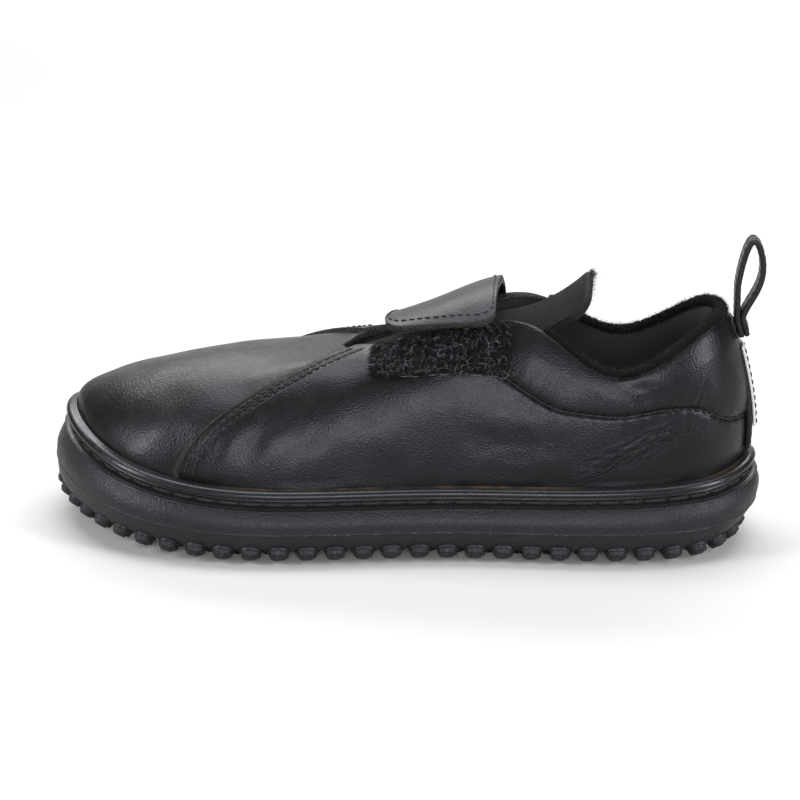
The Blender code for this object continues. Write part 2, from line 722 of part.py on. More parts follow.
def build_heel_strip():
    """Leather strip over the heel seam."""
    heel_patch("heel_strip", HEEL_STRIP, SEAT_GAP)


def build_reflective_strip():
    """Pale reflective tape on the heel strip."""
    low = 2.0 * SEAT_GAP + HEEL_STRIP["thickness"]
    heel_patch("reflective_strip", REFLECTIVE_STRIP, low)


def pull_path():
    """Middle line of the pull loop in the plane of the heel, as along and height."""
    foot = HEEL_STRIP["thickness"] + 2.0 * SEAT_GAP + PULL_THICKNESS / 2.0
    heel = np.zeros(1)
    levels = np.linspace(*PULL_LEG_LEVEL, PULL_LEG_ROWS)
    inner = [upper_face(heel, level, foot)[0] for level in levels]
    outer = [upper_face(heel, level, foot + PULL_THICKNESS + SEAT_GAP)[0] for level in levels]
    edge = upper_face(heel, 1.0, foot)[0]
    free = [np.array([edge[0] - back, 0.0, edge[2] + above]) for _, back, above in PULL_LOOP]
    route = np.array(inner + free + outer[::-1])[:, (0, 2)]
    steps = np.append(0.0, np.cumsum(np.linalg.norm(np.diff(route, axis=0), axis=1)))
    rows = [("", *point) for point in route]
    even = np.interp(np.linspace(0.0, steps[-1], PULL_ROWS), steps, np.arange(len(route)))
    return through(rows, even / (len(route) - 1.0))


def build_pull_loop():
    """Flat leather strip folded into a standing loop, its two ends sewn to the heel strip."""
    path = pull_path()
    run = np.gradient(path, axis=0)
    run /= np.linalg.norm(run, axis=1)[:, None]
    normal = np.column_stack([-run[:, 1], run[:, 0]])
    across = np.array([-0.5, 0.5]) * PULL_WIDTH
    sides = []
    for out in (0.5, -0.5):
        line = path + normal * out * PULL_THICKNESS
        grid = np.empty((len(path), 2, 3))
        grid[:, :, 0] = line[:, 0:1]
        grid[:, :, 1] = across
        grid[:, :, 2] = line[:, 1:2]
        sides.append(grid)
    thick_sheet("pull_loop", *sides)


for old in list(bpy.data.objects):
    bpy.data.objects.remove(old, do_unlink=True)

build_outsole()
build_insole()
build_upper()
build_tongue()
build_collar_trim()
build_loop_tape()
build_strap()
build_hook_tape()
build_heel_strip()
build_reflective_strip()
build_pull_loop()
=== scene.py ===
import math

import bmesh
import bpy
import numpy as np
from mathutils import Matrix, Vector


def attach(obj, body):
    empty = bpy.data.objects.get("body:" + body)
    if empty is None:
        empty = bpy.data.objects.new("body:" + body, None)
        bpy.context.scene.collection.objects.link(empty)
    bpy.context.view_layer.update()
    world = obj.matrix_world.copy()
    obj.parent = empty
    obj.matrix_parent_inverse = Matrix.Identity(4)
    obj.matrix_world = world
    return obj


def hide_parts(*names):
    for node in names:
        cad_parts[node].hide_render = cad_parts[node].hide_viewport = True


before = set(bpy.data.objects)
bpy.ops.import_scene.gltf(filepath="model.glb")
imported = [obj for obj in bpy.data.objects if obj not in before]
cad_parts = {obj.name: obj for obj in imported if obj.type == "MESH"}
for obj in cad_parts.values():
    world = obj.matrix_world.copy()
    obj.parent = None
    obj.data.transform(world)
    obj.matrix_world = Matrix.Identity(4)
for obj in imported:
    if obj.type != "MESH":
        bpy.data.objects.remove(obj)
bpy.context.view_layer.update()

# Cup sole: one moulding of matt black rubber, a thin floor with a rounded wall all round it.
# The wall carries a fine mould line, a double lip, a groove for the wall stitches and a glossy
# bead drawn up against the leather, where tan glue shows here and there. Sizes are in millimetres.
MM = 0.001
LENGTH = 204.0
STUD_HEIGHT = 2.4
FLOOR_THICKNESS = 3.2
TOE_SPRING = 6.0
SPRING_START = 138.0
HEEL_LIFT = 1.8
HEEL_LIFT_END = 18.0
WALL_LOW = 18.6
WALL_HEEL_RISE = 2.5
WALL_HEEL_END = 100.0
WALL_TOE_RISE = 5.0
WALL_TOE_START = 124.0
BUMPER_LEAN = 2.5
HEEL_TUCK = 3.0
HEEL_TUCK_END = 30.0
CUP_WALL = 5.0
SEAT_GAP = 0.3
SOLE_COLUMNS = 440
SOLE_STEPS = 4
SHARP_ANGLE = 50.0
COOL_SHINE = (0.86, 0.89, 1.0, 1.0)
RUBBER_BLACK = ((0.0066, 0.0066, 0.0071), (0.0122, 0.0123, 0.0133))
MOULD_FLASH = (0.117, 0.117, 0.115)
GLUE_TAN = ((0.0234, 0.0156, 0.00936), (0.0975, 0.0655, 0.0343))

OUTLINE = (
    # place, along, across
    ("heel end", 0.0, 0.0),
    ("outer heel corner", 9.5, -20.0),
    ("outer heel", 34.0, -30.5),
    ("outer waist", 86.0, -33.5),
    ("outer ball", 136.0, -41.0),
    ("outer toes", 176.0, -34.0),
    ("toe front", 197.0, -14.0),
    ("toe tip", LENGTH, 8.0),
    ("inner toes", 193.5, 29.0),
    ("inner ball", 152.0, 41.0),
    ("inner waist", 92.0, 31.5),
    ("inner heel", 34.0, 30.0),
    ("inner heel corner", 9.5, 20.0),
)
WIDEST_RINGS = (
    # out from the outline, share of the wall height
    (-0.2, 0.38),
    (-0.1, 0.52),
)

SOLE_WALL = (
    # place, out from the outline, share of the wall height, lift, gloss, mould line, glue
    ("tread edge", -9.5, 0.0, 0.0, 0.0, 0.0, 0.0),
    ("low turn", -4.9, 0.0, 0.9, 0.0, 0.0, 0.0),
    ("upper turn", -1.8, 0.0, 3.2, 0.0, 0.0, 0.0),
    ("under the mould line", -0.42, 0.37, -0.1, 0.0, 0.0, 0.0),
    ("mould line foot", -0.38, 0.38, -0.12, 0.0, 0.2, 0.0),
    ("mould line", -0.04, 0.38, 0.05, 0.0, 1.0, 0.0),
    ("mould line top", -0.16, 0.38, 0.3, 0.0, 0.1, 0.0),
    ("belly", -0.1, 0.52, 0.0, 0.0, 0.0, 0.0),
    ("shoulder", -1.5, 1.0, -6.1, 0.0, 0.0, 0.0),
    ("first lip foot", -1.85, 1.0, -5.55, 0.1, 0.0, 0.0),
    ("first lip", -1.38, 1.0, -5.2, 1.0, 0.0, 0.0),
    ("between the lips", -1.95, 1.0, -4.95, 0.3, 0.0, 0.0),
    ("second lip", -1.62, 1.0, -4.6, 1.0, 0.0, 0.0),
    ("lip inside", -2.6, 1.0, -4.35, 0.3, 0.0, 0.0),
    ("groove floor", -3.5, 1.0, -4.15, 0.0, 0.0, 0.0),
    ("groove back", -3.75, 1.0, -3.3, 0.0, 0.0, 0.0),
    ("groove top", -3.3, 1.0, -2.75, 0.1, 0.0, 0.0),
    ("bead ridge", -2.45, 1.0, -2.5, 0.7, 0.0, 0.0),
    ("bead crease", -2.62, 1.0, -2.15, 0.5, 0.0, 0.0),
    ("bead low", -2.25, 1.0, -1.85, 1.0, 0.0, 0.0),
    ("bead crest", -2.05, 1.0, -1.2, 1.0, 0.0, 0.0),
    ("bead high", -2.5, 1.0, -0.4, 1.0, 0.0, 0.0),
    ("bead top", -3.3, 1.0, 0.02, 1.0, 0.0, 0.05),
    ("bead slope", -4.2, 1.0, 0.1, 0.8, 0.0, 0.5),
    ("against the leather", -5.15, 1.0, 0.2, 0.6, 0.0, 1.0),
    ("cup lip", -5.1, 1.0, -0.7, 0.0, 0.0, 0.0),
    ("cup wall", -4.8, 1.0, -2.2, 0.0, 0.0, 0.0),
    ("cup floor", -CUP_WALL, 0.0, FLOOR_THICKNESS, 0.0, 0.0, 0.0),
)

GLUE = (
    # place, ring place where it starts and ends, strength
    ("heel corner", 0.05, 0.13, 0.6),
    ("outer quarter", 0.26, 0.46, 1.0),
    ("outer waist", 0.45, 0.58, 0.5),
    ("outer ball", 0.57, 0.68, 0.75),
    ("toe", 1.02, 1.16, 1.0),
    ("inner quarter", 1.5, 1.7, 0.8),
    ("inner heel", 1.84, 1.92, 0.5),
)
GLUE_FADE = 0.6
GLUE_SWELL = {"wavelength": 7.0, "seed": 81, "middle": 0.75, "height": 0.4, "range": (0.1, 1.3)}


def loop_spline(knots, values, period, at):
    """Smooth closed curve through the values at the knots, read at the given places."""
    knots = np.asarray(knots, float)
    values = np.asarray(values, float)
    count = len(knots)
    gaps = np.diff(np.append(knots, knots[0] + period))
    before = np.roll(gaps, 1)
    system = np.zeros((count, count))
    for row in range(count):
        system[row, row - 1] += before[row]
        system[row, row] += 2.0 * (before[row] + gaps[row])
        system[row, (row + 1) % count] += gaps[row]
    slopes = (np.roll(values, -1, axis=0) - values) / gaps[:, None]
    bends = np.linalg.solve(system, 6.0 * (slopes - np.roll(slopes, 1, axis=0)))
    place = (np.asarray(at, float) - knots[0]) % period + knots[0]
    left = np.searchsorted(knots, place, side="right") - 1
    right = (left + 1) % count
    gap = gaps[left][:, None]
    ahead = (place - knots[left])[:, None]
    behind = gap - ahead
    curve = (bends[left] * behind**3 + bends[right] * ahead**3) / (6.0 * gap)
    curve += (values[left] / gap - bends[left] * gap / 6.0) * behind
    curve += (values[right] / gap - bends[right] * gap / 6.0) * ahead
    return curve


def drawn_through(rows, steps):
    """A line that never overshoots the rows it goes through, with so many steps to a span."""
    rows = np.asarray(rows, float)
    chords = np.linalg.norm(np.diff(rows, axis=0), axis=1)
    knots = np.append(0.0, np.cumsum(np.sqrt(chords)))
    slopes = np.gradient(rows, knots, axis=0)
    spans = [np.linspace(*span, steps, endpoint=False) for span in zip(knots, knots[1:])]
    at = np.append(np.concatenate(spans), knots[-1])
    left = np.clip(np.searchsorted(knots, at, side="right") - 1, 0, len(knots) - 2)
    gap = (knots[left + 1] - knots[left])[:, None]
    run = (at - knots[left])[:, None] / gap
    rest = 1.0 - run
    line = rows[left] * rest**2 * (1.0 + 2.0 * run)
    line = line + rows[left + 1] * run**2 * (1.0 + 2.0 * rest)
    return line + gap * run * rest * (slopes[left] * rest - slopes[left + 1] * run)


def unit(ways):
    """The same directions, each one long."""
    return ways / np.linalg.norm(ways, axis=-1, keepdims=True)


def runs_along(points):
    """Distance of each point of a line from its start, measured along it."""
    return np.append(0.0, np.cumsum(np.linalg.norm(np.diff(points, axis=0), axis=1)))


class Outline:
    """The sole's outline, read by a ring place: 0 heel, 1 toe, 2 heel again on the inner side."""

    SAMPLES = 4000

    def __init__(self):
        points = np.array([row[1:] for row in OUTLINE])
        steps = np.linalg.norm(np.roll(points, -1, axis=0) - points, axis=1)
        knots = np.append(0.0, np.cumsum(steps)[:-1])
        fine = np.linspace(0.0, steps.sum(), self.SAMPLES, endpoint=False)
        curve = loop_spline(knots, points, steps.sum(), fine)
        curve = np.roll(curve, -int(curve[:, 0].argmin()), axis=0)
        curve = np.vstack([curve, curve[:1]])
        toe = int(curve[:, 0].argmax())
        runs = runs_along(curve)
        inner_run = 1.0 + (runs - runs[toe]) / (runs[-1] - runs[toe])
        self.places = np.where(np.arange(len(curve)) <= toe, runs / runs[toe], inner_run)
        tangent = np.gradient(curve, axis=0)
        tangent[0] = tangent[-1] = tangent[0] + tangent[-1]
        tangent = unit(tangent)
        self.curve = curve
        self.normals = np.column_stack([tangent[:, 1], -tangent[:, 0]])
        self.length = runs[-1]

    def read(self, place, values):
        """Values kept along the outline, at ring places."""
        place = np.asarray(place, float) % 2.0
        return np.column_stack([np.interp(place, self.places, values[:, k]) for k in (0, 1)])

    def at(self, place, out=0.0):
        """Plan points at ring places, moved out from the outline."""
        return self.read(place, self.curve) + self.normal(place) * np.reshape(out, (-1, 1))

    def normal(self, place):
        """Plan directions out of the outline, at ring places."""
        return unit(self.read(place, self.normals))

    def even_places(self, inset, pitch):
        """Ring places about a pitch apart along the line at an inset from the outline."""
        fine = np.linspace(0.0, 2.0, self.SAMPLES)
        runs = runs_along(self.at(fine, -inset))
        count = round(runs[-1] / pitch)
        return np.interp((np.arange(count) + 0.5) * runs[-1] / count, runs, fine)

    def inset_of(self, point):
        """How far a plan point lies inside the outline, negative outside it."""
        gaps = self.curve - point
        nearest = int((gaps**2).sum(axis=1).argmin())
        return float(gaps[nearest] @ self.normals[nearest])


OUTSIDE = Outline()


def ramp(values, start, end):
    """0 at the start, 1 at the end, and level beyond them."""
    return np.clip((values - start) / (end - start), 0.0, 1.0)


def skin_height(along):
    """Underside of the sole between its studs, with toe spring and a slight lift at the heel."""
    spring = ramp(along, SPRING_START, LENGTH)
    lift = ramp(along, HEEL_LIFT_END, 0.0)
    return STUD_HEIGHT + TOE_SPRING * spring**2 + HEEL_LIFT * lift**2


def wall_height(along):
    """Height of the sole's side wall, from its underside to the top of the bead."""
    heel = ramp(along, WALL_HEEL_END, 0.0)
    toe = ramp(along, WALL_TOE_START, LENGTH)
    return WALL_LOW + WALL_HEEL_RISE * heel**2 + WALL_TOE_RISE * toe**2


def sole_ring(places, out, share, lift):
    """One ring of the sole: its top leans back over the toe, its foot tucks in at the heel."""
    edge = OUTSIDE.at(places)[:, 0]
    toe = ramp(edge, WALL_TOE_START, LENGTH)
    heel = ramp(edge, HEEL_TUCK_END, 0.0)
    drawn_in = BUMPER_LEAN * share * toe**2 + HEEL_TUCK * (1.0 - share) ** 2 * heel**2
    height = skin_height(edge) + share * wall_height(edge) + lift
    return np.column_stack([OUTSIDE.at(places, out - drawn_in), height])


def sole_middle():
    """Middle of the sole's plan, where the shoe's origin stands."""
    places = np.linspace(0.0, 2.0, Outline.SAMPLES)
    rings = np.vstack([sole_ring(places, out, share, 0.0) for out, share in WIDEST_RINGS])
    return (rings[:, :2].min(axis=0) + rings[:, :2].max(axis=0)) / 2.0


MIDDLE = sole_middle()


def placed(points):
    """Points of the shoe in the frame's metres: toe to -X, outer side to -Y."""
    points = np.asarray(points, float).reshape(-1, 3)
    across = points[:, 1] - MIDDLE[1]
    return np.column_stack([MIDDLE[0] - points[:, 0], across, points[:, 2]]) * MM


def swell(points, wavelength, seed, waves=24, spread=(0.7, 1.4)):
    """A smooth random swell of about unit size over points in millimetres."""
    draw = np.random.default_rng(seed)
    ways = unit(draw.normal(size=(waves, 3)))
    ways *= 2.0 * math.pi / (wavelength * draw.uniform(*spread, (waves, 1)))
    phases = draw.uniform(0.0, 2.0 * math.pi, waves)
    return np.sin(points @ ways.T + phases).sum(axis=-1) * math.sqrt(2.0 / waves)


def quads(index):
    """Four-sided faces between neighbours on a grid of point numbers."""
    corners = (index[:-1, :-1], index[:-1, 1:], index[1:, 1:], index[1:, :-1])
    return np.stack(corners, axis=-1).reshape(-1, 4)


def grid_faces(rows, columns, round_columns=False, round_rows=False):
    """Four-sided faces over a grid of points, kept row by row."""
    index = np.arange(rows * columns).reshape(rows, columns)
    if round_columns:
        index = np.hstack([index, index[:, :1]])
    if round_rows:
        index = np.vstack([index, index[:1]])
    return quads(index).tolist()


def across_faces(count, first):
    """Strips across a ring whose place 0 is the heel and whose middle place is the toe."""
    half = count // 2
    faces = [[first, first + 1, first + count - 1]]
    for col in range(1, half - 1):
        far = count - col
        faces.append([first + col, first + col + 1, first + far - 1, first + far])
    faces.append([first + half - 1, first + half, first + half + 1])
    return faces


def ring_faces(rings, columns):
    """Faces of stacked rings, closed at both ends by strips across the shoe."""
    faces = grid_faces(rings, columns, round_columns=True)
    return faces + across_faces(columns, 0) + across_faces(columns, columns * (rings - 1))


class Finish:
    """One surface finish: a shader and the patterns that colour, roughen and emboss it."""

    MIX_COLOURS = (6, 7)
    MIX_RESULT = 2

    def __init__(self, name, colour, roughness, **sockets):
        self.material = bpy.data.materials.new(name)
        self.material.use_nodes = True
        self.tree = self.material.node_tree
        self.shader = self.tree.nodes["Principled BSDF"]
        self.shader.inputs["Base Color"].default_value = (*colour, 1.0)
        self.shader.inputs["Roughness"].default_value = roughness
        for socket, value in sockets.items():
            self.shader.inputs[socket.replace("_", " ")].default_value = value
        self.relief = None

    def node(self, kind, inputs, **settings):
        """A shader node, with values or links on its inputs."""
        made = self.tree.nodes.new(kind)
        for name, value in settings.items():
            setattr(made, name, value)
        for key, value in inputs.items():
            if isinstance(value, bpy.types.NodeSocket):
                self.tree.links.new(value, made.inputs[key])
            else:
                made.inputs[key].default_value = value
        return made

    def where(self, size, stretch):
        """Places on the shoe and the scale of a pattern of a size in millimetres."""
        place = self.tree.nodes.new("ShaderNodeTexCoord").outputs["Object"]
        squeezed = self.node("ShaderNodeMapping", {"Vector": place, "Scale": stretch}).outputs[0]
        return {"Vector": squeezed, "Scale": 1.0 / (size * MM)}

    def mark(self, name):
        """A value that the mesh carries from point to point."""
        return self.node("ShaderNodeAttribute", {}, attribute_name=name).outputs["Fac"]

    def noise(self, size, detail=3.0, stretch=(1.0, 1.0, 1.0)):
        """Soft cloudy pattern."""
        inputs = {**self.where(size, stretch), "Detail": detail}
        return self.node("ShaderNodeTexNoise", inputs).outputs["Fac"]

    def cells(self, size, smooth=0.6, stretch=(1.0, 1.0, 1.0)):
        """Pebbled pattern."""
        inputs = {**self.where(size, stretch), "Smoothness": smooth}
        pebbles = self.node("ShaderNodeTexVoronoi", inputs, feature="SMOOTH_F1")
        return pebbles.outputs["Distance"]

    def ranged(self, value, low, high, to_low=0.0, to_high=1.0):
        """A value moved from one range to another."""
        inputs = {"Value": value, "From Min": low, "From Max": high}
        inputs.update({"To Min": to_low, "To Max": to_high})
        return self.node("ShaderNodeMapRange", inputs).outputs[0]

    def combined(self, one, other, operation="ADD"):
        """Two values added, or put together by another operation."""
        return self.node("ShaderNodeMath", {0: one, 1: other}, operation=operation).outputs[0]

    def blended(self, amount, one, other):
        """Colours mixed by an amount."""
        inputs = {0: amount}
        for key, colour in zip(self.MIX_COLOURS, (one, other)):
            linked = isinstance(colour, bpy.types.NodeSocket)
            inputs[key] = colour if linked else (*colour, 1.0)
        mix = self.node("ShaderNodeMix", inputs, data_type="RGBA")
        return mix.outputs[self.MIX_RESULT]

    def colour(self, socket):
        self.tree.links.new(socket, self.shader.inputs["Base Color"])

    def roughness(self, socket):
        self.tree.links.new(socket, self.shader.inputs["Roughness"])

    def emboss(self, height, depth, strength=1.0):
        """Adds a relief of a depth in millimetres to those already there."""
        inputs = {"Height": height, "Distance": depth * MM, "Strength": strength}
        if self.relief is not None:
            inputs["Normal"] = self.relief
        self.relief = self.node("ShaderNodeBump", inputs).outputs["Normal"]
        self.tree.links.new(self.relief, self.shader.inputs["Normal"])


def piece(name, points, faces, finishes, slot, stands_for=None, lined=None, **marks):
    """A smooth mesh of points in millimetres that rides on the shoe's one body."""
    mesh = bpy.data.meshes.new(name)
    mesh.from_pydata(placed(points), [], faces)
    for finish in finishes:
        mesh.materials.append(finish.material)
    if lined is not None:
        mesh.polygons.foreach_set("material_index", lined)
    shape = bmesh.new()
    shape.from_mesh(mesh)
    bmesh.ops.recalc_face_normals(shape, faces=shape.faces)
    shape.to_mesh(mesh)
    shape.free()
    mesh.shade_smooth()
    mesh.set_sharp_from_angle(angle=math.radians(SHARP_ANGLE))
    for mark, values in marks.items():
        layer = mesh.attributes.new(mark, "FLOAT", "POINT")
        layer.data.foreach_set("value", np.asarray(values, np.float32).ravel())
    made = bpy.data.objects.new(name, mesh)
    bpy.context.scene.collection.objects.link(made)
    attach(made, "root")
    if stands_for:
        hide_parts(stands_for)
    return made


def rubber_finish():
    """Matt black rubber with the mould's fine grain, a glossy bead and pale flash."""
    shine = {"Specular_IOR_Level": 0.21, "Specular_Tint": COOL_SHINE}
    rubber = Finish("moulded_rubber", RUBBER_BLACK[1], 0.5, **shine)
    black = rubber.blended(rubber.noise(9.0), *RUBBER_BLACK)
    flash = rubber.ranged(rubber.noise(0.9, 2.0), 0.56, 0.7)
    line = rubber.ranged(rubber.mark("mould_line"), 0.35, 0.9)
    flecked = rubber.blended(rubber.combined(flash, line, "MULTIPLY"), black, MOULD_FLASH)
    tan = rubber.blended(rubber.noise(1.6, 4.0), *GLUE_TAN)
    rubber.colour(rubber.blended(rubber.mark("glue"), flecked, tan))
    matt = rubber.ranged(rubber.noise(2.5), 0.3, 0.7, 0.42, 0.54)
    glossy = rubber.ranged(rubber.mark("gloss"), 0.0, 1.0, 0.0, -0.22)
    rubber.roughness(rubber.combined(matt, glossy))
    flat = rubber.ranged(rubber.mark("gloss"), 0.0, 0.5, 1.0, 0.1)
    rubber.emboss(rubber.combined(rubber.cells(0.62), flat, "MULTIPLY"), 0.15, 0.8)
    rubber.emboss(rubber.noise(0.22, 2.0), 0.025, 0.6)
    return rubber


RUBBER = rubber_finish()
wall_rows = np.array([row[1:] for row in SOLE_WALL])
wall_rows[:, 1] *= WALL_LOW
wall_line = drawn_through(wall_rows, SOLE_STEPS)
sole_places = 2.0 * np.arange(SOLE_COLUMNS) / SOLE_COLUMNS
sole_rings = []
for ring_out, ring_rise, ring_lift in wall_line[:, :3]:
    sole_rings.append(sole_ring(sole_places, ring_out, ring_rise / WALL_LOW, ring_lift))
glue_round = np.zeros(SOLE_COLUMNS)
for _, glue_start, glue_end, glue_strength in GLUE:
    glue_run = ramp(sole_places, glue_start, glue_end)
    glue_patch = glue_strength * np.sin(math.pi * glue_run) ** GLUE_FADE
    glue_round = np.maximum(glue_round, glue_patch)
glue_swell = swell(sole_rings[0], GLUE_SWELL["wavelength"], GLUE_SWELL["seed"])
glue_swell = GLUE_SWELL["middle"] + GLUE_SWELL["height"] * glue_swell
glue_round *= np.clip(glue_swell, *GLUE_SWELL["range"])
wall_gloss, wall_mould_line, wall_glue = np.clip(wall_line[:, 3:], 0.0, 1.0).T
piece(
    "cup_sole",
    np.vstack(sole_rings),
    ring_faces(len(sole_rings), SOLE_COLUMNS),
    [RUBBER],
    "sole_rubber",
    "outsole",
    gloss=np.repeat(wall_gloss, SOLE_COLUMNS),
    mould_line=np.repeat(wall_mould_line, SOLE_COLUMNS),
    glue=np.clip(np.outer(wall_glue, glue_round), 0.0, 1.0),
)


# Studs: round tapered knobs moulded with the sole. Each has a narrow collar at its root and a
# smaller disc standing off centre on its top. One row leans out round the edge of the tread,
# one stands just inside it, and a staggered field fills the middle.
EDGE_STUDS = {"inset": 4.0, "raise": 1.35, "pitch": 7.6, "radius": 3.0, "tilt": 34.0}
RIM_STUDS = {"inset": 11.6, "raise": 0.0, "pitch": 8.6, "radius": 3.0, "tilt": 0.0}
FIELD_STUDS = {"inset": 18.5, "pitch": 13.0, "radius": 3.3, "tilt": 0.0}
STUD_SIDES = 22
STUD_STEPS = (
    # place, share of the radius, height, shift of the middle
    ("buried", 1.02, -0.7, 0.0),
    ("root", 1.06, 0.1, 0.0),
    ("collar", 1.04, 0.42, 0.0),
    ("collar top", 0.93, 0.56, 0.0),
    ("side", 0.86, 1.55, 0.0),
    ("shoulder", 0.82, 1.8, 0.0),
    ("crescent", 0.75, 1.92, 0.0),
    ("disc foot", 0.63, 1.93, 0.1),
    ("disc side", 0.6, 2.28, 0.1),
    ("disc edge", 0.55, STUD_HEIGHT, 0.1),
)


def end_faces(sides, rings):
    """Flat faces that close both ends of a stack of rings."""
    return [list(range(sides)), list(range(sides * (rings - 1), sides * rings))]


def stud_template():
    """One stud of unit radius on the third axis, with its disc shifted along the first."""
    turn = 2.0 * math.pi * np.arange(STUD_SIDES) / STUD_SIDES
    rings = []
    for _, share, height, shift in STUD_STEPS:
        level = np.full_like(turn, height)
        ring = (share * np.cos(turn) + shift, share * np.sin(turn), level)
        rings.append(np.column_stack(ring))
    faces = grid_faces(len(rings), STUD_SIDES, round_columns=True)
    return np.vstack(rings), faces + end_faces(STUD_SIDES, len(rings))


def repeated(points, faces, spots, axes):
    """Copies of a small shape at spots, each laid along its own three axes, joined in one set."""
    copies = spots[:, None, :] + np.einsum("mk,nkj->nmj", points, axes)
    all_faces = []
    for shift in range(0, len(spots) * len(points), len(points)):
        all_faces += [[corner + shift for corner in face] for face in faces]
    return copies.reshape(-1, 3), all_faces


def tread_axes(spot, outward, tilt, half_step=0.5):
    """Three directions of a stud: along the shoe, across, and down out of the tread."""
    slope = float(skin_height(spot[0] + half_step) - skin_height(spot[0] - half_step))
    down = unit(np.array([slope, 0.0, -1.0]))
    lean = math.radians(tilt)
    way = unit(down * math.cos(lean) + np.array([*outward, 0.0]) * math.sin(lean))
    ahead = unit(np.array([1.0, 0.0, 0.0]) - way[0] * way)
    return np.array([ahead, np.cross(way, ahead), way])


def stud_spots():
    """Spot, axes and radius of every stud under the sole."""
    for row in (EDGE_STUDS, RIM_STUDS):
        places = OUTSIDE.even_places(row["inset"], row["pitch"])
        ring = sole_ring(places, -row["inset"], 0.0, row["raise"])
        for spot, outward in zip(ring, OUTSIDE.normal(places)):
            yield spot, tread_axes(spot, outward, row["tilt"]), row["radius"]
    pitch = FIELD_STUDS["pitch"]
    step = pitch * math.sqrt(3.0) / 2.0
    reach = math.ceil(max(abs(row[2]) for row in OUTLINE) / pitch)
    for line in range(int(LENGTH / step) + 1):
        shift = pitch / 2.0 if line % 2 else 0.0
        for column in range(-reach, reach + 1):
            spot = np.array([(line + 0.5) * step, column * pitch + shift])
            if OUTSIDE.inset_of(spot) > FIELD_STUDS["inset"]:
                spot = np.array([*spot, float(skin_height(spot[0]))])
                axes = tread_axes(spot, (0.0, 0.0), FIELD_STUDS["tilt"])
                yield spot, axes, FIELD_STUDS["radius"]


studs = list(stud_spots())
stud_places = np.array([spot for spot, _, _ in studs])
stud_axes = np.array([axes * [[radius], [radius], [1.0]] for _, axes, radius in studs])
stud_points, stud_faces = repeated(*stud_template(), stud_places, stud_axes)
bare = dict.fromkeys(("gloss", "mould_line", "glue"), np.zeros(len(stud_points)))
piece("sole_studs", stud_points, stud_faces, [RUBBER], "sole_rubber", **bare)


# Upper: black smooth leather with a fine pebble grain and a dark textile lining, drawn down into
# the cup. The quarters lap the vamp with a cut edge towards the toe and two rows of stitches. The
# soft collar panel is sewn to the lower quarter, and the leather creases below that seam.
UPPER_WALL = 2.2
LAP_STEP = 1.2
LAP_FADE = 0.11
LAP_START = 0.08
LAP_STITCH_ROWS = (2.0, 4.3)
LAP_STITCH_LEVELS = (0.03, 0.95)
LAP_STITCH_STEPS = 50
LAP_STITCH_GROOVE = {"depth": 0.28, "width": 0.45, "reach": 2.0}
SEAM_SHARE = 0.72
CUT_EDGE_PLACES = (-0.0016, -0.0002, 0.0054, 0.0068)
CUT_EDGE_CLEAR = 0.0075
CUT_EDGE_SPAN = (-0.0004, 0.006)
UPPER_COLUMNS = 600
UPPER_ROWS = 112
LINING_ROWS = 18
OUTER = -1
INNER = 1
NUDGE = 0.002
SPOT_SEARCH = {"last_share": 0.99, "shares": 200, "levels": 80, "first_level": 0.4, "rounds": 8}
LEATHER_BLACK = ((0.00265, 0.00265, 0.00296), (0.0053, 0.00538, 0.00585))
LEATHER_CORE = ((0.00351, 0.0032, 0.00296), (0.039, 0.0335, 0.0296))
LINING_GREY = ((0.00468, 0.00468, 0.00507), (0.0156, 0.0156, 0.0165))

SECTIONS = (
    # place, share of the half outline, top edge along, across and height,
    # rise and flare out of the sole, pull below the top edge along, across and height
    ("heel back", 0.0, 12.0, 0.0, 64.0, 13.0, 1.6, -4.0, 0.0, -14.0),
    ("heel corner", 0.09, 18.0, 14.5, 62.5, 13.0, 1.4, -3.2, 3.0, -13.5),
    ("ankle", 0.22, 40.0, 23.5, 51.5, 10.0, 1.0, -0.5, 2.6, -9.5),
    ("collar front", 0.36, 62.0, 17.5, 62.5, 13.0, 0.6, 2.0, 8.0, -13.0),
    ("strap line", 0.53, 87.0, 13.5, 60.0, 14.0, 0.0, 8.0, 11.0, -7.5),
    ("throat corner", SEAM_SHARE, 113.0, 8.5, 53.4, 13.0, -0.5, 19.0, 14.0, -4.0),
    ("toe side", 0.86, 116.5, 4.5, 52.6, 10.0, 0.0, 32.0, 14.0, -3.5),
    ("toe tip", 1.0, 118.0, 0.0, 52.4, 8.0, 0.0, 42.0, 3.0, -2.5),
)
CUT_TOP = (
    # share of the wall's thickness inwards, rise over the top edge
    (0.15, 0.28),
    (0.4, 0.36),
    (0.7, 0.34),
    (0.92, 0.2),
)

COLLAR_SEAM = (
    # place, along, above the bead
    ("under the heel strip", 4.0, 10.5),
    ("rise", 12.0, 15.0),
    ("corner", 20.0, 20.0),
    ("ankle", 31.0, 20.6),
    ("below the collar", 45.0, 19.8),
    ("turn", 58.0, 22.0),
    ("at the tape", 69.5, 28.5),
    ("under the strap", 75.0, 32.0),
)
SEAM_GROOVE = 0.5
SEAM_WIDTH = 0.75
SEAM_REACH = 30.0
SEAM_FADE = 0.05
COLLAR_PUFF = 1.25
PUFF_REACH = 4.0
TOP_ROUND = 0.16
BEAD_FADE = 0.05
PUCKER_DEPTH = 0.1
PUCKER_PITCH = 3.7
PUCKER_REACH = 2.2
PUCKER_DRIFT = {"size": 1.6, "run": 4.3}

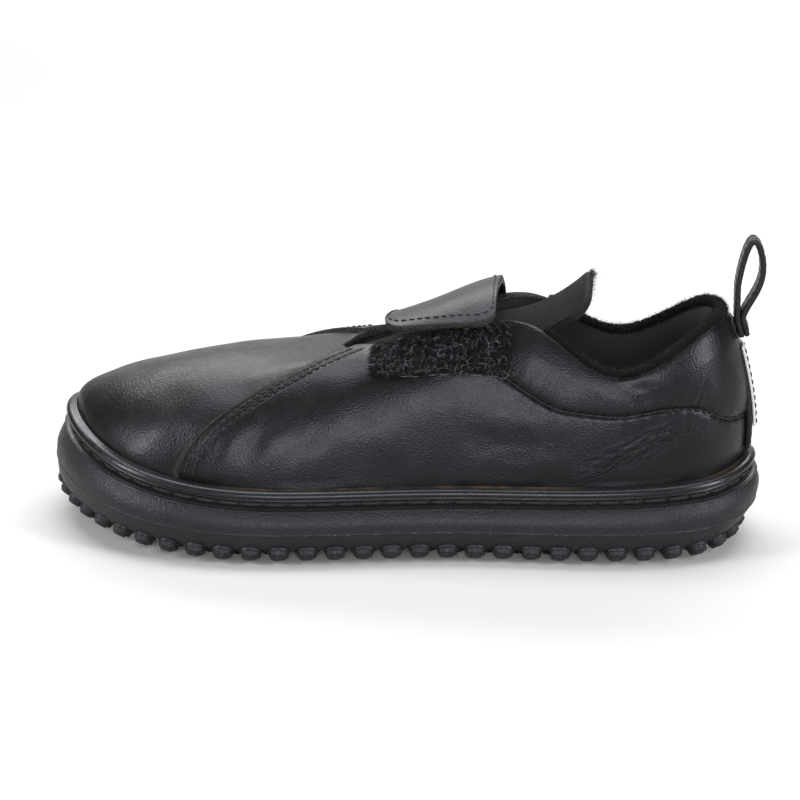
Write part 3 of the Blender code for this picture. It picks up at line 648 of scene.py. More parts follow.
CREASES = (
    # place, side, along and height above the bead at each end, bow, half width, depth
    ("seam corner, first", OUTER, 21.0, 18.6, 35.0, 11.6, 0.9, 0.50, 0.22),
    ("seam corner, second", OUTER, 21.5, 17.2, 41.0, 8.2, 0.9, 0.50, 0.26),
    ("seam corner, third", OUTER, 23.5, 18.0, 46.0, 7.0, 1.0, 0.52, 0.24),
    ("seam corner, fourth", OUTER, 29.0, 13.6, 50.0, 3.6, 0.5, 0.55, 0.22),
    ("seam corner, fifth", OUTER, 22.0, 15.6, 34.0, 9.0, 0.5, 0.48, 0.18),
    ("seam corner, sixth", OUTER, 34.0, 12.8, 52.0, 5.2, 0.4, 0.55, 0.18),
    ("quarter, soft", OUTER, 50.0, 12.5, 84.0, 14.0, -1.4, 3.40, 0.36),
    ("heel panel, first", OUTER, 21.0, 20.4, 18.0, 28.4, -0.4, 0.55, 0.24),
    ("heel panel, second", OUTER, 20.0, 20.2, 15.6, 26.4, -0.5, 0.50, 0.18),
    ("heel panel, third", OUTER, 25.4, 21.0, 24.6, 26.6, 0.0, 0.55, 0.18),
    ("collar panel, soft", OUTER, 28.0, 22.0, 43.0, 29.5, 0.4, 3.00, 0.50),
    ("ball, first", OUTER, 143.0, 1.5, 130.0, 22.0, 1.8, 2.60, 0.15),
    ("ball, second", OUTER, 150.0, 3.0, 143.0, 15.0, 1.2, 1.60, 0.1),
    ("ball, third", OUTER, 133.0, 2.5, 118.0, 17.0, 1.0, 2.80, 0.12),
    ("vamp ridge", OUTER, 188.0, 13.0, 140.0, 24.5, 2.0, 3.20, 0.40),
    ("inner seam corner, first", INNER, 22.0, 18.2, 44.0, 16.4, 0.8, 0.50, 0.22),
    ("inner seam corner, second", INNER, 23.0, 16.4, 38.0, 13.2, 0.6, 0.46, 0.20),
    ("inner heel panel", INNER, 20.5, 22.0, 14.0, 27.0, 0.7, 0.46, 0.22),
    ("inner quarter, soft", INNER, 48.0, 13.0, 82.0, 13.6, -1.4, 3.40, 0.34),
    ("inner ball, first", INNER, 146.0, 3.0, 136.0, 20.0, 1.2, 2.00, 0.18),
    ("inner ball, second", INNER, 153.0, 3.5, 146.0, 16.0, 0.9, 1.50, 0.12),
)
CREASE_REACH = 4.5
CREASE_RIDGE = {"height": 0.5, "at": 1.9}
CREASE_SWAY = {"wavelength": 5.0, "reach": 0.22, "seed": 8}
WRINKLES = (
    # place, side, along and height above the bead at each end, half width of the band
    ("below the seam corner", OUTER, 20.5, 17.6, 54.0, 3.5, 2.7),
    ("heel panel", OUTER, 21.0, 19.8, 16.5, 27.5, 1.8),
    ("below the inner seam corner", INNER, 20.5, 17.6, 50.0, 4.5, 2.5),
    ("inner heel panel", INNER, 21.0, 19.8, 16.5, 27.0, 1.6),
)
WRINKLE_REACH = 3.0
WRINKLE_START = 0.14
WRINKLE_FADE = 0.8
WRINKLE_SQUEEZE = (0.13, 1.15, 1.0)
SWELLS = (
    # wavelength, height, seed
    (34.0, 0.20, 5),
    (13.0, 0.07, 6),
)


def side_share(place):
    """Share of the half outline and the side: -1 outer, +1 inner."""
    place = np.asarray(place, float) % 2.0
    return np.where(place <= 1.0, place, 2.0 - place), np.where(place <= 1.0, OUTER, INNER)


def on_side(share, side):
    """Ring places of shares of the half outline on one side."""
    return share if side == OUTER else 2.0 - share


def section_loop():
    """Top edges and pulls of the sections on both sides, in order round the shoe."""
    outer = [(row[1], OUTER, row[2:]) for row in SECTIONS]
    inner = [(2.0 - row[1], INNER, row[2:]) for row in SECTIONS[-2:0:-1]]
    values = []
    for _, side, (along, across, height, rise, flare, pull_a, pull_c, pull_h) in outer + inner:
        values.append((along, side * across, height, rise, flare, pull_a, side * pull_c, pull_h))
    return [row[0] for row in outer + inner], values


SECTION_KNOTS, SECTION_VALUES = section_loop()


def curved(start, leave, arrive, end, share):
    """A bent line between two ends, drawn from each by its own way, read at shares of it."""
    rest = 1.0 - share
    line = start * rest**3 + 3.0 * (start + leave) * rest**2 * share
    return line + 3.0 * (end + arrive) * rest * share**2 + end * share**3


def upper_base(place, level):
    """Point of the upper's outer face without its laps: level 0 at the bead, 1 at the top edge."""
    place = np.asarray(place, float)
    level = np.reshape(level, (-1, 1)) * np.ones((len(place), 1))
    foot = sole_ring(place, -CUP_WALL - SEAT_GAP, 1.0, 0.0)
    rows = loop_spline(SECTION_KNOTS, SECTION_VALUES, 2.0, place)
    rise = np.column_stack([OUTSIDE.normal(place) * rows[:, 4:5], rows[:, 3]])
    return curved(foot, rise, rows[:, 5:8], rows[:, 0:3], level)


def upper_normal(place, level):
    """Outward direction of the upper's face."""
    place = np.asarray(place, float)
    level = np.asarray(level, float) * np.ones(len(place))
    low = np.maximum(level - NUDGE, 0.0)
    high = np.minimum(level + NUDGE, 1.0)
    round_way = upper_base(place + NUDGE, level) - upper_base(place - NUDGE, level)
    return unit(np.cross(round_way, upper_base(place, high) - upper_base(place, low)))


def lap_lift(place, level):
    """How far the quarters stand over the vamp behind the seam where they lap it."""
    share = side_share(place)[0]
    back = ramp(share, SEAM_SHARE - LAP_FADE, SEAM_SHARE)
    raised = np.where(share <= SEAM_SHARE, back * back * (3.0 - 2.0 * back), 0.0)
    return LAP_STEP * raised * ramp(np.asarray(level), 0.0, LAP_START)


def upper_face(place, level, out):
    """Point at a distance out from the upper's outer face."""
    reach = lap_lift(place, level) + out
    return upper_base(place, level) + upper_normal(place, level) * np.reshape(reach, (-1, 1))


def upper_spot(along, above, side):
    """Ring place and level of a spot on one side, from its along and height above the bead."""
    shares = np.linspace(0.0, SPOT_SEARCH["last_share"], SPOT_SEARCH["shares"])
    places = on_side(shares, side)
    levels = np.linspace(0.0, 1.0, SPOT_SEARCH["levels"])
    level = SPOT_SEARCH["first_level"]
    for _ in range(SPOT_SEARCH["rounds"]):
        place = np.interp(along, upper_base(places, level)[:, 0], places)
        heights = upper_base(np.full(len(levels), place), levels)[:, 2]
        level = np.interp(heights[0] + above, heights, levels)
    return place, level


def upper_line(spots, side, steps=14):
    """Ring places and levels along a smooth line through spots given by along and height."""
    half_round = OUTSIDE.length / 2.0
    rows = [upper_spot(along, above, side) for along, above in spots]
    line = drawn_through([(place * half_round, level * WALL_LOW) for place, level in rows], steps)
    return line[:, 0] / half_round, np.clip(line[:, 1] / WALL_LOW, 0.0, 1.0)


def beside(points, line, reach, allowed=True):
    """Which points lie within reach of a line, how far from it, how far along it, its length."""
    near = ((points > line.min(axis=0) - reach) & (points < line.max(axis=0) + reach)).all(axis=1)
    found = np.nonzero(near & allowed)[0]
    gaps = np.full(len(found), np.inf)
    runs = np.zeros(len(found))
    passed = 0.0
    for here, there in zip(line, line[1:]):
        step = there - here
        length = np.linalg.norm(step)
        share = np.clip((points[found] - here) @ step / length**2, 0.0, 1.0)
        gap = np.linalg.norm(points[found] - here - share[:, None] * step, axis=1)
        closer = gap < gaps
        gaps[closer] = gap[closer]
        runs[closer] = passed + share[closer] * length
        passed += length
    kept = gaps < reach
    return found[kept], gaps[kept], runs[kept], passed


def bell(gaps, width):
    """1 on a line, falling softly to 0 on both sides of it."""
    return np.exp(-((gaps / width) ** 2))


def collar_seam(side):
    """Ring places and levels of the seam below the collar panel."""
    return upper_line([row[1:] for row in COLLAR_SEAM], side)


def lap_line(offset, side):
    """Ring places and levels of a line at an offset behind the quarter's cut edge."""
    levels = np.linspace(*LAP_STITCH_LEVELS, LAP_STITCH_STEPS)
    edge = np.full(len(levels), SEAM_SHARE)
    step = upper_base(edge + NUDGE, levels) - upper_base(edge - NUDGE, levels)
    share = edge - offset * 2.0 * NUDGE / np.linalg.norm(step, axis=1)
    return on_side(share, side), levels


def seam_relief(points, places, levels):
    """Height that the collar panel's puff, its puckered seam and the lap stitches add."""
    relief = np.zeros(len(points))
    share, side = side_share(places)
    for one_side in (OUTER, INNER):
        seam_places, seam_levels = collar_seam(one_side)
        line = upper_base(seam_places, seam_levels)
        found, gap, run, _ = beside(points, line, SEAM_REACH, side == one_side)
        seam_shares = side_share(seam_places)[0]
        seam_end = seam_shares.max()
        over = levels[found] > np.interp(share[found], seam_shares, seam_levels)
        ends = ramp(share[found], seam_end, seam_end - SEAM_FADE)
        rounded_top = np.sqrt(ramp(levels[found], 1.0, 1.0 - TOP_ROUND))
        puff = COLLAR_PUFF * (1.0 - np.exp(-gap / PUFF_REACH)) * over * ends * rounded_top
        groove = SEAM_GROOVE * bell(gap, SEAM_WIDTH) * (share[found] <= seam_end)
        drift = PUCKER_DRIFT["size"] * np.sin(run / PUCKER_DRIFT["run"])
        beat = np.cos(2.0 * math.pi * run / PUCKER_PITCH + drift)
        pucker = PUCKER_DEPTH * beat * np.exp(-gap / PUCKER_REACH) * ends
        relief[found] += puff - groove + pucker
        for offset in LAP_STITCH_ROWS:
            line = upper_base(*lap_line(offset, one_side))
            found, gap, _, _ = beside(points, line, LAP_STITCH_GROOVE["reach"])
            relief[found] -= LAP_STITCH_GROOVE["depth"] * bell(gap, LAP_STITCH_GROOVE["width"])
    return relief


def crease_relief(points):
    """Height that the creases take away, with a low ridge on both sides of each."""
    relief = np.zeros(len(points))
    seeds = (CREASE_SWAY["seed"] + axis for axis in range(3))
    sway = np.column_stack([swell(points, CREASE_SWAY["wavelength"], seed) for seed in seeds])
    swayed = points + CREASE_SWAY["reach"] * sway
    for _, side, along, above, end_along, end_above, bow, width, depth in CREASES:
        middle = ((along + end_along) / 2.0, (above + end_above) / 2.0 + bow)
        spots = [(along, above), middle, (end_along, end_above)]
        line = upper_base(*upper_line(spots, side))
        found, gap, run, length = beside(swayed, line, CREASE_REACH * width)
        fade = np.sin(math.pi * np.clip(run / length, 0.0, 1.0))
        ridge = CREASE_RIDGE["height"] * bell(gap - CREASE_RIDGE["at"] * width, width)
        relief[found] -= depth * fade * (bell(gap, width) - ridge)
    return relief


def upper_relief(points, places, levels):
    """Height that soft swells, seams and creases add to the upper's face."""
    relief = seam_relief(points, places, levels) + crease_relief(points)
    for wavelength, height, seed in SWELLS:
        relief += height * swell(points, wavelength, seed)
    return relief * ramp(levels, 0.0, BEAD_FADE)


def wrinkle_marks(points, side):
    """Bands of fine wrinkles: their strength, the run along and the offset across each band."""
    strength, runs, offsets = np.zeros((3, len(points)))
    for _, one_side, along, above, end_along, end_above, half_width in WRINKLES:
        line = upper_base(*upper_line([(along, above), (end_along, end_above)], one_side))
        reach = WRINKLE_REACH * half_width
        found, gap, run, length = beside(points, line, reach, side == one_side)
        share = WRINKLE_START + (1.0 - WRINKLE_START) * run / length
        ends = np.sin(math.pi * np.clip(share, 0.0, 1.0)) ** WRINKLE_FADE
        own = bell(gap, half_width) * ends
        stronger = own > strength[found]
        found = found[stronger]
        strength[found] = own[stronger]
        way = unit(line[-1] - line[0])
        runs[found] = (points[found] - line[0]) @ way
        offsets[found] = (points[found] - line[0]) @ np.cross(way, (0.0, 1.0, 0.0))
    return {"wrinkle": strength, "wrinkle_run": runs, "wrinkle_offset": offsets}


def upper_places():
    """Ring places of the upper's columns, closer at the cut edges where the quarters lap."""
    even = 2.0 * np.arange(UPPER_COLUMNS) / UPPER_COLUMNS
    edges = np.array([SEAM_SHARE, 2.0 - SEAM_SHARE])
    kept = [place for place in even if np.abs(edges - place).min() > CUT_EDGE_CLEAR]
    for edge, way in zip(edges, (1.0, -1.0)):
        kept += [edge + way * nudge for nudge in CUT_EDGE_PLACES]
    return np.sort(kept)


def upper_shell():
    """The shell's rings from the cup floor up the leather, over the top and down the lining."""
    places = upper_places()
    share, side = side_share(places)
    behind, ahead = CUT_EDGE_SPAN
    cut = ((share > SEAM_SHARE + behind) & (share < SEAM_SHARE + ahead)).astype(float)
    base = -CUP_WALL - 2.0 * SEAT_GAP
    lift = FLOOR_THICKNESS + SEAT_GAP
    levels = np.linspace(0.0, 1.0, UPPER_ROWS)
    skin = np.stack([upper_base(places, level) for level in levels])
    normals = np.stack([upper_normal(places, level) for level in levels])
    all_places, all_levels = np.tile(places, UPPER_ROWS), np.repeat(levels, len(places))
    relief = upper_relief(skin.reshape(-1, 3), all_places, all_levels)
    lap = np.stack([lap_lift(places, level) for level in levels])
    raised = (relief.reshape(lap.shape) + lap)[:, :, None]
    outer = skin + normals * raised
    up_way = unit(skin[-1] - skin[-3])
    rim = []
    for depth, rise in CUT_TOP:
        out = raised[-1] - depth * (UPPER_WALL + raised[-1])
        rim.append(skin[-1] + normals[-1] * out + up_way * rise)
    inner = []
    for level in np.linspace(1.0, 0.0, LINING_ROWS):
        inner.append(upper_base(places, level) - upper_normal(places, level) * UPPER_WALL)
    rings = [sole_ring(places, base, 0.0, lift), *outer, *rim, *inner]
    rings.append(sole_ring(places, base - UPPER_WALL, 0.0, lift))
    rim_start = UPPER_ROWS + 1
    rim_end = rim_start + len(rim)
    raw = np.zeros((len(rings), len(places)))
    raw[1:rim_start] = cut
    raw[rim_start:rim_end] = 1.0
    lined = np.zeros((len(rings), len(places)), dtype=np.int32)
    lined[rim_end:] = 1
    points = np.vstack(rings)
    marks = wrinkle_marks(points, np.tile(side, len(rings)))
    marks["raw"] = raw
    faces = grid_faces(len(rings), len(places), round_columns=True, round_rows=True)
    return points, faces, lined, marks


def leather_finish():
    """Black leather: fine pebble grain, soft sheen, and a fibrous brown-grey core where cut."""
    shine = {"Specular_IOR_Level": 0.16, "Specular_Tint": COOL_SHINE}
    coat = {"Coat_Weight": 0.04, "Coat_Roughness": 0.2}
    leather = Finish("black_leather", LEATHER_BLACK[1], 0.4, **shine, **coat)
    raw = leather.mark("raw")
    black = leather.blended(leather.noise(14.0), *LEATHER_BLACK)
    fibres = leather.ranged(leather.noise(0.55, 5.0), 0.36, 0.68)
    leather.colour(leather.blended(raw, black, leather.blended(fibres, *LEATHER_CORE)))
    sheen = leather.ranged(leather.noise(3.2), 0.3, 0.7, 0.32, 0.42)
    leather.roughness(leather.combined(sheen, leather.ranged(raw, 0.0, 1.0, 0.0, 0.45)))
    leather.emboss(leather.cells(0.56, 0.5, (1.0, 1.0, 1.2)), 0.1, 0.8)
    leather.emboss(leather.noise(0.2, 2.0), 0.02, 0.6)
    leather.emboss(leather.combined(leather.noise(0.35, 4.0), raw, "MULTIPLY"), 0.5, 0.9)
    run, offset = leather.mark("wrinkle_run"), leather.mark("wrinkle_offset")
    band = leather.node("ShaderNodeCombineXYZ", {0: run, 1: offset}).outputs[0]
    squeeze = {"Vector": band, "Scale": WRINKLE_SQUEEZE}
    squeezed = leather.node("ShaderNodeMapping", squeeze).outputs[0]
    pattern = {"Vector": squeezed, "Scale": 1.0, "Detail": 2.5}
    lines = leather.node("ShaderNodeTexNoise", pattern).outputs["Fac"]
    folds = leather.combined(leather.combined(lines, 0.5, "SUBTRACT"), 0.0, "ABSOLUTE")
    leather.emboss(leather.combined(folds, leather.mark("wrinkle"), "MULTIPLY"), 2.2, 0.9)
    return leather


def textile_finish(name, dark, light, size, roughness=0.9):
    """Plain woven textile: crossing threads of a size in millimetres, with uneven colour."""
    cloth = Finish(name, dark, roughness, Sheen_Weight=0.25, Sheen_Roughness=0.5)
    cloth.colour(cloth.blended(cloth.noise(size * 1.2, 4.0), dark, light))
    for axis in ((1.0, 0.25, 0.25), (0.25, 1.0, 1.0)):
        cloth.emboss(cloth.noise(size, 1.0, axis), 0.14, 0.7)
    return cloth


LEATHER = leather_finish()
LINING = textile_finish("lining_textile", *LINING_GREY, 0.5)
shell_points, shell_faces, shell_lined, shell_marks = upper_shell()
piece(
    "upper_shell",
    shell_points,
    shell_faces,
    [LEATHER, LINING],
    "upper_leather",
    "upper",
    lined=shell_lined.ravel(),
    **shell_marks,
)


# Panel stitches: fine black waxed thread, one row along the collar seam and two along each cut
# edge of the quarters. Each stitch dips into its hole at both ends.
THREAD_RADIUS = 0.24
PANEL_STITCH = {"pitch": 2.15, "length": 1.75}
SEAM_STITCH_SUNK = 0.3
LAP_STITCH_SUNK = 0.12
STITCH_STEPS = 7
STITCH_PROUD = 0.8
STITCH_DIP = 30.0
STITCH_SIDES = 6
STITCH_TAPER = (0.75, 1.0, 0.75)
ODD_WAY = (0.31, 0.57, 0.76)
THREAD_BLACK = ((0.0027, 0.0027, 0.003), (0.011, 0.011, 0.012))


def strands(lines, radius, sides=3, taper=(1.0, 0.3)):
    """Thin closed tubes along lines (hairs, points, 3), thinning towards their ends."""
    count, steps = lines.shape[:2]
    way = unit(np.gradient(lines, axis=1))
    side = unit(np.cross(way, ODD_WAY))
    up = np.cross(way, side)
    turn = 2.0 * math.pi * np.arange(sides) / sides
    even = np.linspace(0.0, 1.0, len(taper))
    thick = np.interp(np.linspace(0.0, 1.0, steps), even, taper)
    thick = (np.reshape(radius, (-1, 1)) * thick)[:, :, None, None]
    around = np.cos(turn)[:, None] * side[:, :, None, :]
    around = around + np.sin(turn)[:, None] * up[:, :, None, :]
    points = (lines[:, :, None, :] + thick * around).reshape(-1, 3)
    shifts = (np.arange(count) * steps * sides)[:, None, None]
    tube = np.array(grid_faces(steps, sides, round_columns=True))
    faces = (tube[None] + shifts).reshape(-1, 4).tolist()
    ends = np.array(end_faces(sides, steps))
    return points, faces + (ends[None] + shifts).reshape(-1, sides).tolist()


def walked(path, pitch, margin=0.0):
    """Places along a path, as fractions of its points, a pitch apart."""
    runs = runs_along(path)
    count = max(1, int((runs[-1] - 2.0 * margin) / pitch))
    at = margin + (np.arange(count) + 0.5) * (runs[-1] - 2.0 * margin) / count
    return np.interp(at, runs, np.arange(len(path)))


def along_path(path, at):
    """A path or the values along it, read at fractions of its points."""
    index = np.arange(len(path))
    return np.column_stack([np.interp(at, index, path[:, k]) for k in range(path.shape[1])])


def stitch_row(path, normals, pitch, length, radius=THREAD_RADIUS):
    """A row of stitches along a path, each a short thread that dips in at both ends."""
    at = walked(path, pitch)
    centre = along_path(path, at)
    way = unit(along_path(np.gradient(path, axis=0), at))
    out = unit(along_path(normals, at))
    share = np.linspace(-0.5, 0.5, STITCH_STEPS)
    rise = radius * (STITCH_PROUD - STITCH_DIP * share**4)
    lines = centre[:, None, :] + way[:, None, :] * (share * length)[:, None]
    lines = lines + out[:, None, :] * rise[:, None]
    return strands(lines, radius, STITCH_SIDES, STITCH_TAPER)


def joined(parts):
    """Several sets of points and faces as one."""
    points, faces, shift = [], [], 0
    for part_points, part_faces in parts:
        points.append(part_points)
        faces += [[corner + shift for corner in face] for face in part_faces]
        shift += len(part_points)
    return np.vstack(points), faces


def panel_stitches():
    """All rows of panel stitches on both sides."""
    rows = []
    for side in (OUTER, INNER):
        lines = [(collar_seam(side), SEAM_STITCH_SUNK)]
        lines += [(lap_line(offset, side), LAP_STITCH_SUNK) for offset in LAP_STITCH_ROWS]
        for line, sunk in lines:
            rows.append(stitch_row(upper_face(*line, -sunk), upper_normal(*line), **PANEL_STITCH))
    return joined(rows)


def thread_finish(name, roughness, dark, light):
    """Black thread with a slight twist to its surface."""
    thread = Finish(name, dark, roughness, Specular_IOR_Level=0.25)
    thread.colour(thread.blended(thread.noise(0.5), dark, light))
    thread.emboss(thread.noise(0.16, 2.0), 0.08, 0.8)
    return thread


THREAD = thread_finish("waxed_thread", 0.5, *THREAD_BLACK)
piece("panel_stitches", *panel_stitches(), [THREAD], "upper_leather")


# Cut-edge fuzz: loose fibres of the leather's own core, brown-grey, that stand out of the cut
# edges of both quarters where they lap the vamp.
FUZZ_PER_EDGE = 700
FUZZ_LEVELS = (0.03, 0.97)
FUZZ_OUT = (0.1, LAP_STEP)
FUZZ_LENGTH = (0.5, 2.0)
FUZZ_RADIUS = 0.04
FUZZ_AHEAD = 0.004
FUZZ_SPREAD = 0.6
FUZZ_SEEDS = {"places": 21, "curls": 22}
CORE_BROWN = ((0.014, 0.0125, 0.0113), (0.0663, 0.0585, 0.0515))


def fuzz(roots, ways, lengths, radius, seed, curl=0.5, steps=4):
    """Short curled hairs from roots, each along its own way."""
    draw = np.random.default_rng(seed)
    share = np.linspace(0.0, 1.0, steps)
    bend = draw.normal(size=roots.shape) * curl
    lines = roots[:, None, :] + ways[:, None, :] * (lengths[:, None] * share)[:, :, None]
    curled = bend[:, None, :] * (lengths[:, None] * share**2)[:, :, None]
    return strands(lines + curled, radius)


def edge_fuzz():
    """Loose hairs along both cut edges."""
    draw = np.random.default_rng(FUZZ_SEEDS["places"])
    parts = []
    for side in (OUTER, INNER):
        levels = draw.uniform(*FUZZ_LEVELS, FUZZ_PER_EDGE)
        places = np.full(FUZZ_PER_EDGE, on_side(SEAM_SHARE, side))
        out = draw.uniform(*FUZZ_OUT, FUZZ_PER_EDGE)
        edge = upper_base(places, levels)
        roots = edge + upper_normal(places, levels) * out[:, None]
        ahead = unit(upper_base(places - FUZZ_AHEAD * side, levels) - edge)
        ways = unit(ahead + draw.normal(size=roots.shape) * FUZZ_SPREAD)
        lengths = draw.uniform(*FUZZ_LENGTH, FUZZ_PER_EDGE)
        parts.append(fuzz(roots, ways, lengths, FUZZ_RADIUS, FUZZ_SEEDS["curls"]))
    return joined(parts)


def fibre_finish(name, dark, light):
    """Loose fibres of uneven colour."""
    fibre = Finish(name, dark, 0.7, Specular_IOR_Level=0.1)
    uneven = fibre.ranged(fibre.noise(1.1, 4.0), 0.36, 0.68)
    fibre.colour(fibre.blended(uneven, dark, light))
    return fibre


CORE_FIBRE = fibre_finish("leather_fibre", *CORE_BROWN)
piece("cut_edge_fuzz", *edge_fuzz(), [CORE_FIBRE], "upper_leather")


# Tongue: a thick soft tongue with raw fuzzy edges and a ribbed black textile face, sewn under the
# vamp and rising past the collar. A row of stitches runs close to its top edge.
TONGUE_THICKNESS = 2.8
TONGUE_ROWS = 90
TONGUE_COLUMNS = 44
TONGUE_MARGINS = (0.02, 0.05)
TONGUE_EDGE = {"rounding": 0.6, "power": 2.1}
TONGUE_CORNERS = {"run": 0.13, "across": 0.55}
TONGUE_RIB = 0.75
TONGUE_FREE_FROM = 0.6
TONGUE_WAVE = {"wavelength": 22.0, "height": 0.35, "seed": 31}
TONGUE_STITCH = {"pitch": 2.4, "length": 1.9}
TONGUE_STITCH_INSET = 3.4
TONGUE_STITCH_WAY = (0.45, 0.0, 0.9)
TONGUE_STITCH_ENDS = slice(8, -8)
TONGUE_FUZZ = {"per_mm": 26.0, "length": 0.9, "radius": 0.035, "seed": 41, "spread": 0.55}
TONGUE_FUZZ_FROM = 60
RIM_FUZZ_LENGTHS = (0.4, 1.0)
RIM_FUZZ_TANGLE = 0.8
EDGE_TURN = (0.0, 0.08, 0.25, 0.5, 0.75)
TONGUE_FACE = ((0.00218, 0.00218, 0.00242), (0.00686, 0.00686, 0.00741))
TONGUE_RAW = ((0.0039, 0.00374, 0.00367), (0.0234, 0.0222, 0.0215))
PILE_GREY = ((0.00234, 0.00234, 0.00265), (0.0172, 0.0172, 0.0187))
TONGUE = (
    # place, along, height of the middle, half width, drop at the edges
    ("root", 128.0, 49.0, 11.0, 1.2),
    ("throat end", 114.0, 50.6, 12.5, 2.0),
    ("instep", 88.0, 59.4, 14.5, 4.0),
    ("collar", 64.0, 64.9, 13.8, 4.5),
    ("top", 50.0, 74.0, 14.5, 3.5),
)


def through(rows, at):
    """Smooth open curve through rows of values, read at places from 0 to 1 along it."""
    values = np.asarray(rows, float)
    there_and_back = np.vstack([values, values[-2:0:-1]])
    knots = np.arange(len(there_and_back), dtype=float)
    span = len(values) - 1.0
    return loop_spline(knots, there_and_back, len(there_and_back), np.asarray(at) * span)


def edged(count, edge):
    """Places from 0 to 1, with a few more inside a margin at both ends where an edge turns over."""
    turn = edge * np.array(EDGE_TURN)
    return np.concatenate([turn, np.linspace(edge, 1.0 - edge, count), 1.0 - turn[::-1]])


def corner_cut(from_middle, share):
    """How far a rounded corner cuts in, from 0 to 1, over the outer share of a half width."""
    return 1.0 - np.sqrt(1.0 - ramp(from_middle, 1.0 - share, 1.0) ** 2)


def reach_from_edge(grid):
    """Distance of each point of a grid from the nearest edge of the sheet, measured along it."""
    nearest = np.full(grid.shape[:2], np.inf)
    for axis in (0, 1):
        steps = np.linalg.norm(np.diff(grid, axis=axis), axis=2)
        start = np.zeros_like(np.take(steps, [0], axis=axis))
        runs = np.concatenate([start, np.cumsum(steps, axis=axis)], axis=axis)
        total = np.take(runs, [-1], axis=axis)
        nearest = np.minimum(nearest, np.minimum(runs, total - runs))
    return nearest


def sheet_normals(grid):
    """Directions out of one face of a sheet."""
    return unit(np.cross(np.gradient(grid, axis=0), np.gradient(grid, axis=1)))


def soft_sheet(grid, thickness, rounding, power):
    """Points, faces and nearness to the edge of a closed sheet about a grid of its middle."""
    rows, columns = grid.shape[:2]
    inward = np.clip(1.0 - reach_from_edge(grid) / (rounding * thickness), 0.0, 1.0)
    half = thickness / 2.0 * (1.0 - inward**power) ** (1.0 / power)
    half = sheet_normals(grid) * half[:, :, None]
    index = np.arange(rows * columns).reshape(rows, columns)
    under = index + rows * columns
    rim = np.ones((rows, columns), bool)
    rim[1:-1, 1:-1] = False
    under[rim] = index[rim]
    faces = np.vstack([quads(index), quads(under)[:, ::-1]])
    used = np.unique(faces)
    renumber = np.zeros(2 * rows * columns, int)
    renumber[used] = np.arange(len(used))
    both = np.concatenate([(grid + half).reshape(-1, 3), (grid - half).reshape(-1, 3)])
    return both[used], renumber[faces].tolist(), np.tile(inward.ravel(), 2)[used]


def tongue_grid():
    """Middle sheet of the tongue, its free end rounded at the corners."""
    at = edged(TONGUE_ROWS, TONGUE_MARGINS[0])
    side = 2.0 * edged(TONGUE_COLUMNS, TONGUE_MARGINS[1]) - 1.0
    cut = corner_cut(np.abs(side), TONGUE_CORNERS["across"])
    reach = 1.0 - TONGUE_CORNERS["run"] * cut
    rows = [row[1:] for row in TONGUE]
    grid = np.empty((len(at), len(side), 3))
    for column, share in enumerate(side):
        along, height, half_width, drop = through(rows, at * reach[column]).T
        slope = np.gradient(height) / np.gradient(along)
        lean = np.hypot(slope, 1.0) * 2.0 / TONGUE_THICKNESS
        grid[:, column, 0] = along + slope / lean
        grid[:, column, 1] = share * half_width
        grid[:, column, 2] = height - drop * share**2 - 1.0 / lean
    free = ramp(at, TONGUE_FREE_FROM, 1.0)[:, None]
    wave = swell(grid.reshape(-1, 3), TONGUE_WAVE["wavelength"], TONGUE_WAVE["seed"])
    grid[:, :, 2] += TONGUE_WAVE["height"] * wave.reshape(grid.shape[:2]) * free
    return grid


def tongue_finish():
    """Ribbed black textile over soft padding, fuzzy and a little paler at the raw edges."""
    shine = {"Specular_IOR_Level": 0.06, "Sheen_Weight": 0.03}
    cloth = Finish("tongue_textile", TONGUE_FACE[1], 0.85, **shine)
    fibres = cloth.noise(0.4, 5.0)
    face, raw = cloth.blended(fibres, *TONGUE_FACE), cloth.blended(fibres, *TONGUE_RAW)
    cloth.colour(cloth.blended(cloth.ranged(cloth.mark("edge"), 0.15, 0.7), face, raw))
    cloth.emboss(cloth.combined(cloth.mark("rib"), 0.0, "SINE"), 0.12, 0.7)
    cloth.emboss(fibres, 0.2, 0.8)
    return cloth


def tongue_stitches(middle):
    """The row of stitches across the tongue, close to its free end."""
    half = len(middle) // 2
    reach = reach_from_edge(middle)[half:, TONGUE_COLUMNS // 2]
    row = half + int(np.argmin(np.abs(reach - TONGUE_STITCH_INSET)))
    path = middle[row, TONGUE_STITCH_ENDS] + np.array([0.0, 0.0, TONGUE_THICKNESS / 2.0])
    return stitch_row(path, np.tile(TONGUE_STITCH_WAY, (len(path), 1)), **TONGUE_STITCH)


def rim_fuzz(rim, per_mm, length, radius, seed, spread):
    """Fuzz standing off a rim of points, mostly away from the middle of the piece."""
    draw = np.random.default_rng(seed)
    steps = np.linalg.norm(np.diff(rim, axis=0), axis=1)
    count = int(steps.sum() * per_mm)
    at = np.sort(draw.uniform(0.0, len(rim) - 1.0, count))
    roots = along_path(rim, at) + draw.normal(size=(count, 3)) * spread
    away = unit(roots - rim.mean(axis=0))
    ways = unit(away + draw.normal(size=(count, 3)) * RIM_FUZZ_TANGLE)
    lengths = draw.uniform(*RIM_FUZZ_LENGTHS, count) * length
    return fuzz(roots, ways, lengths, radius, seed + 1)


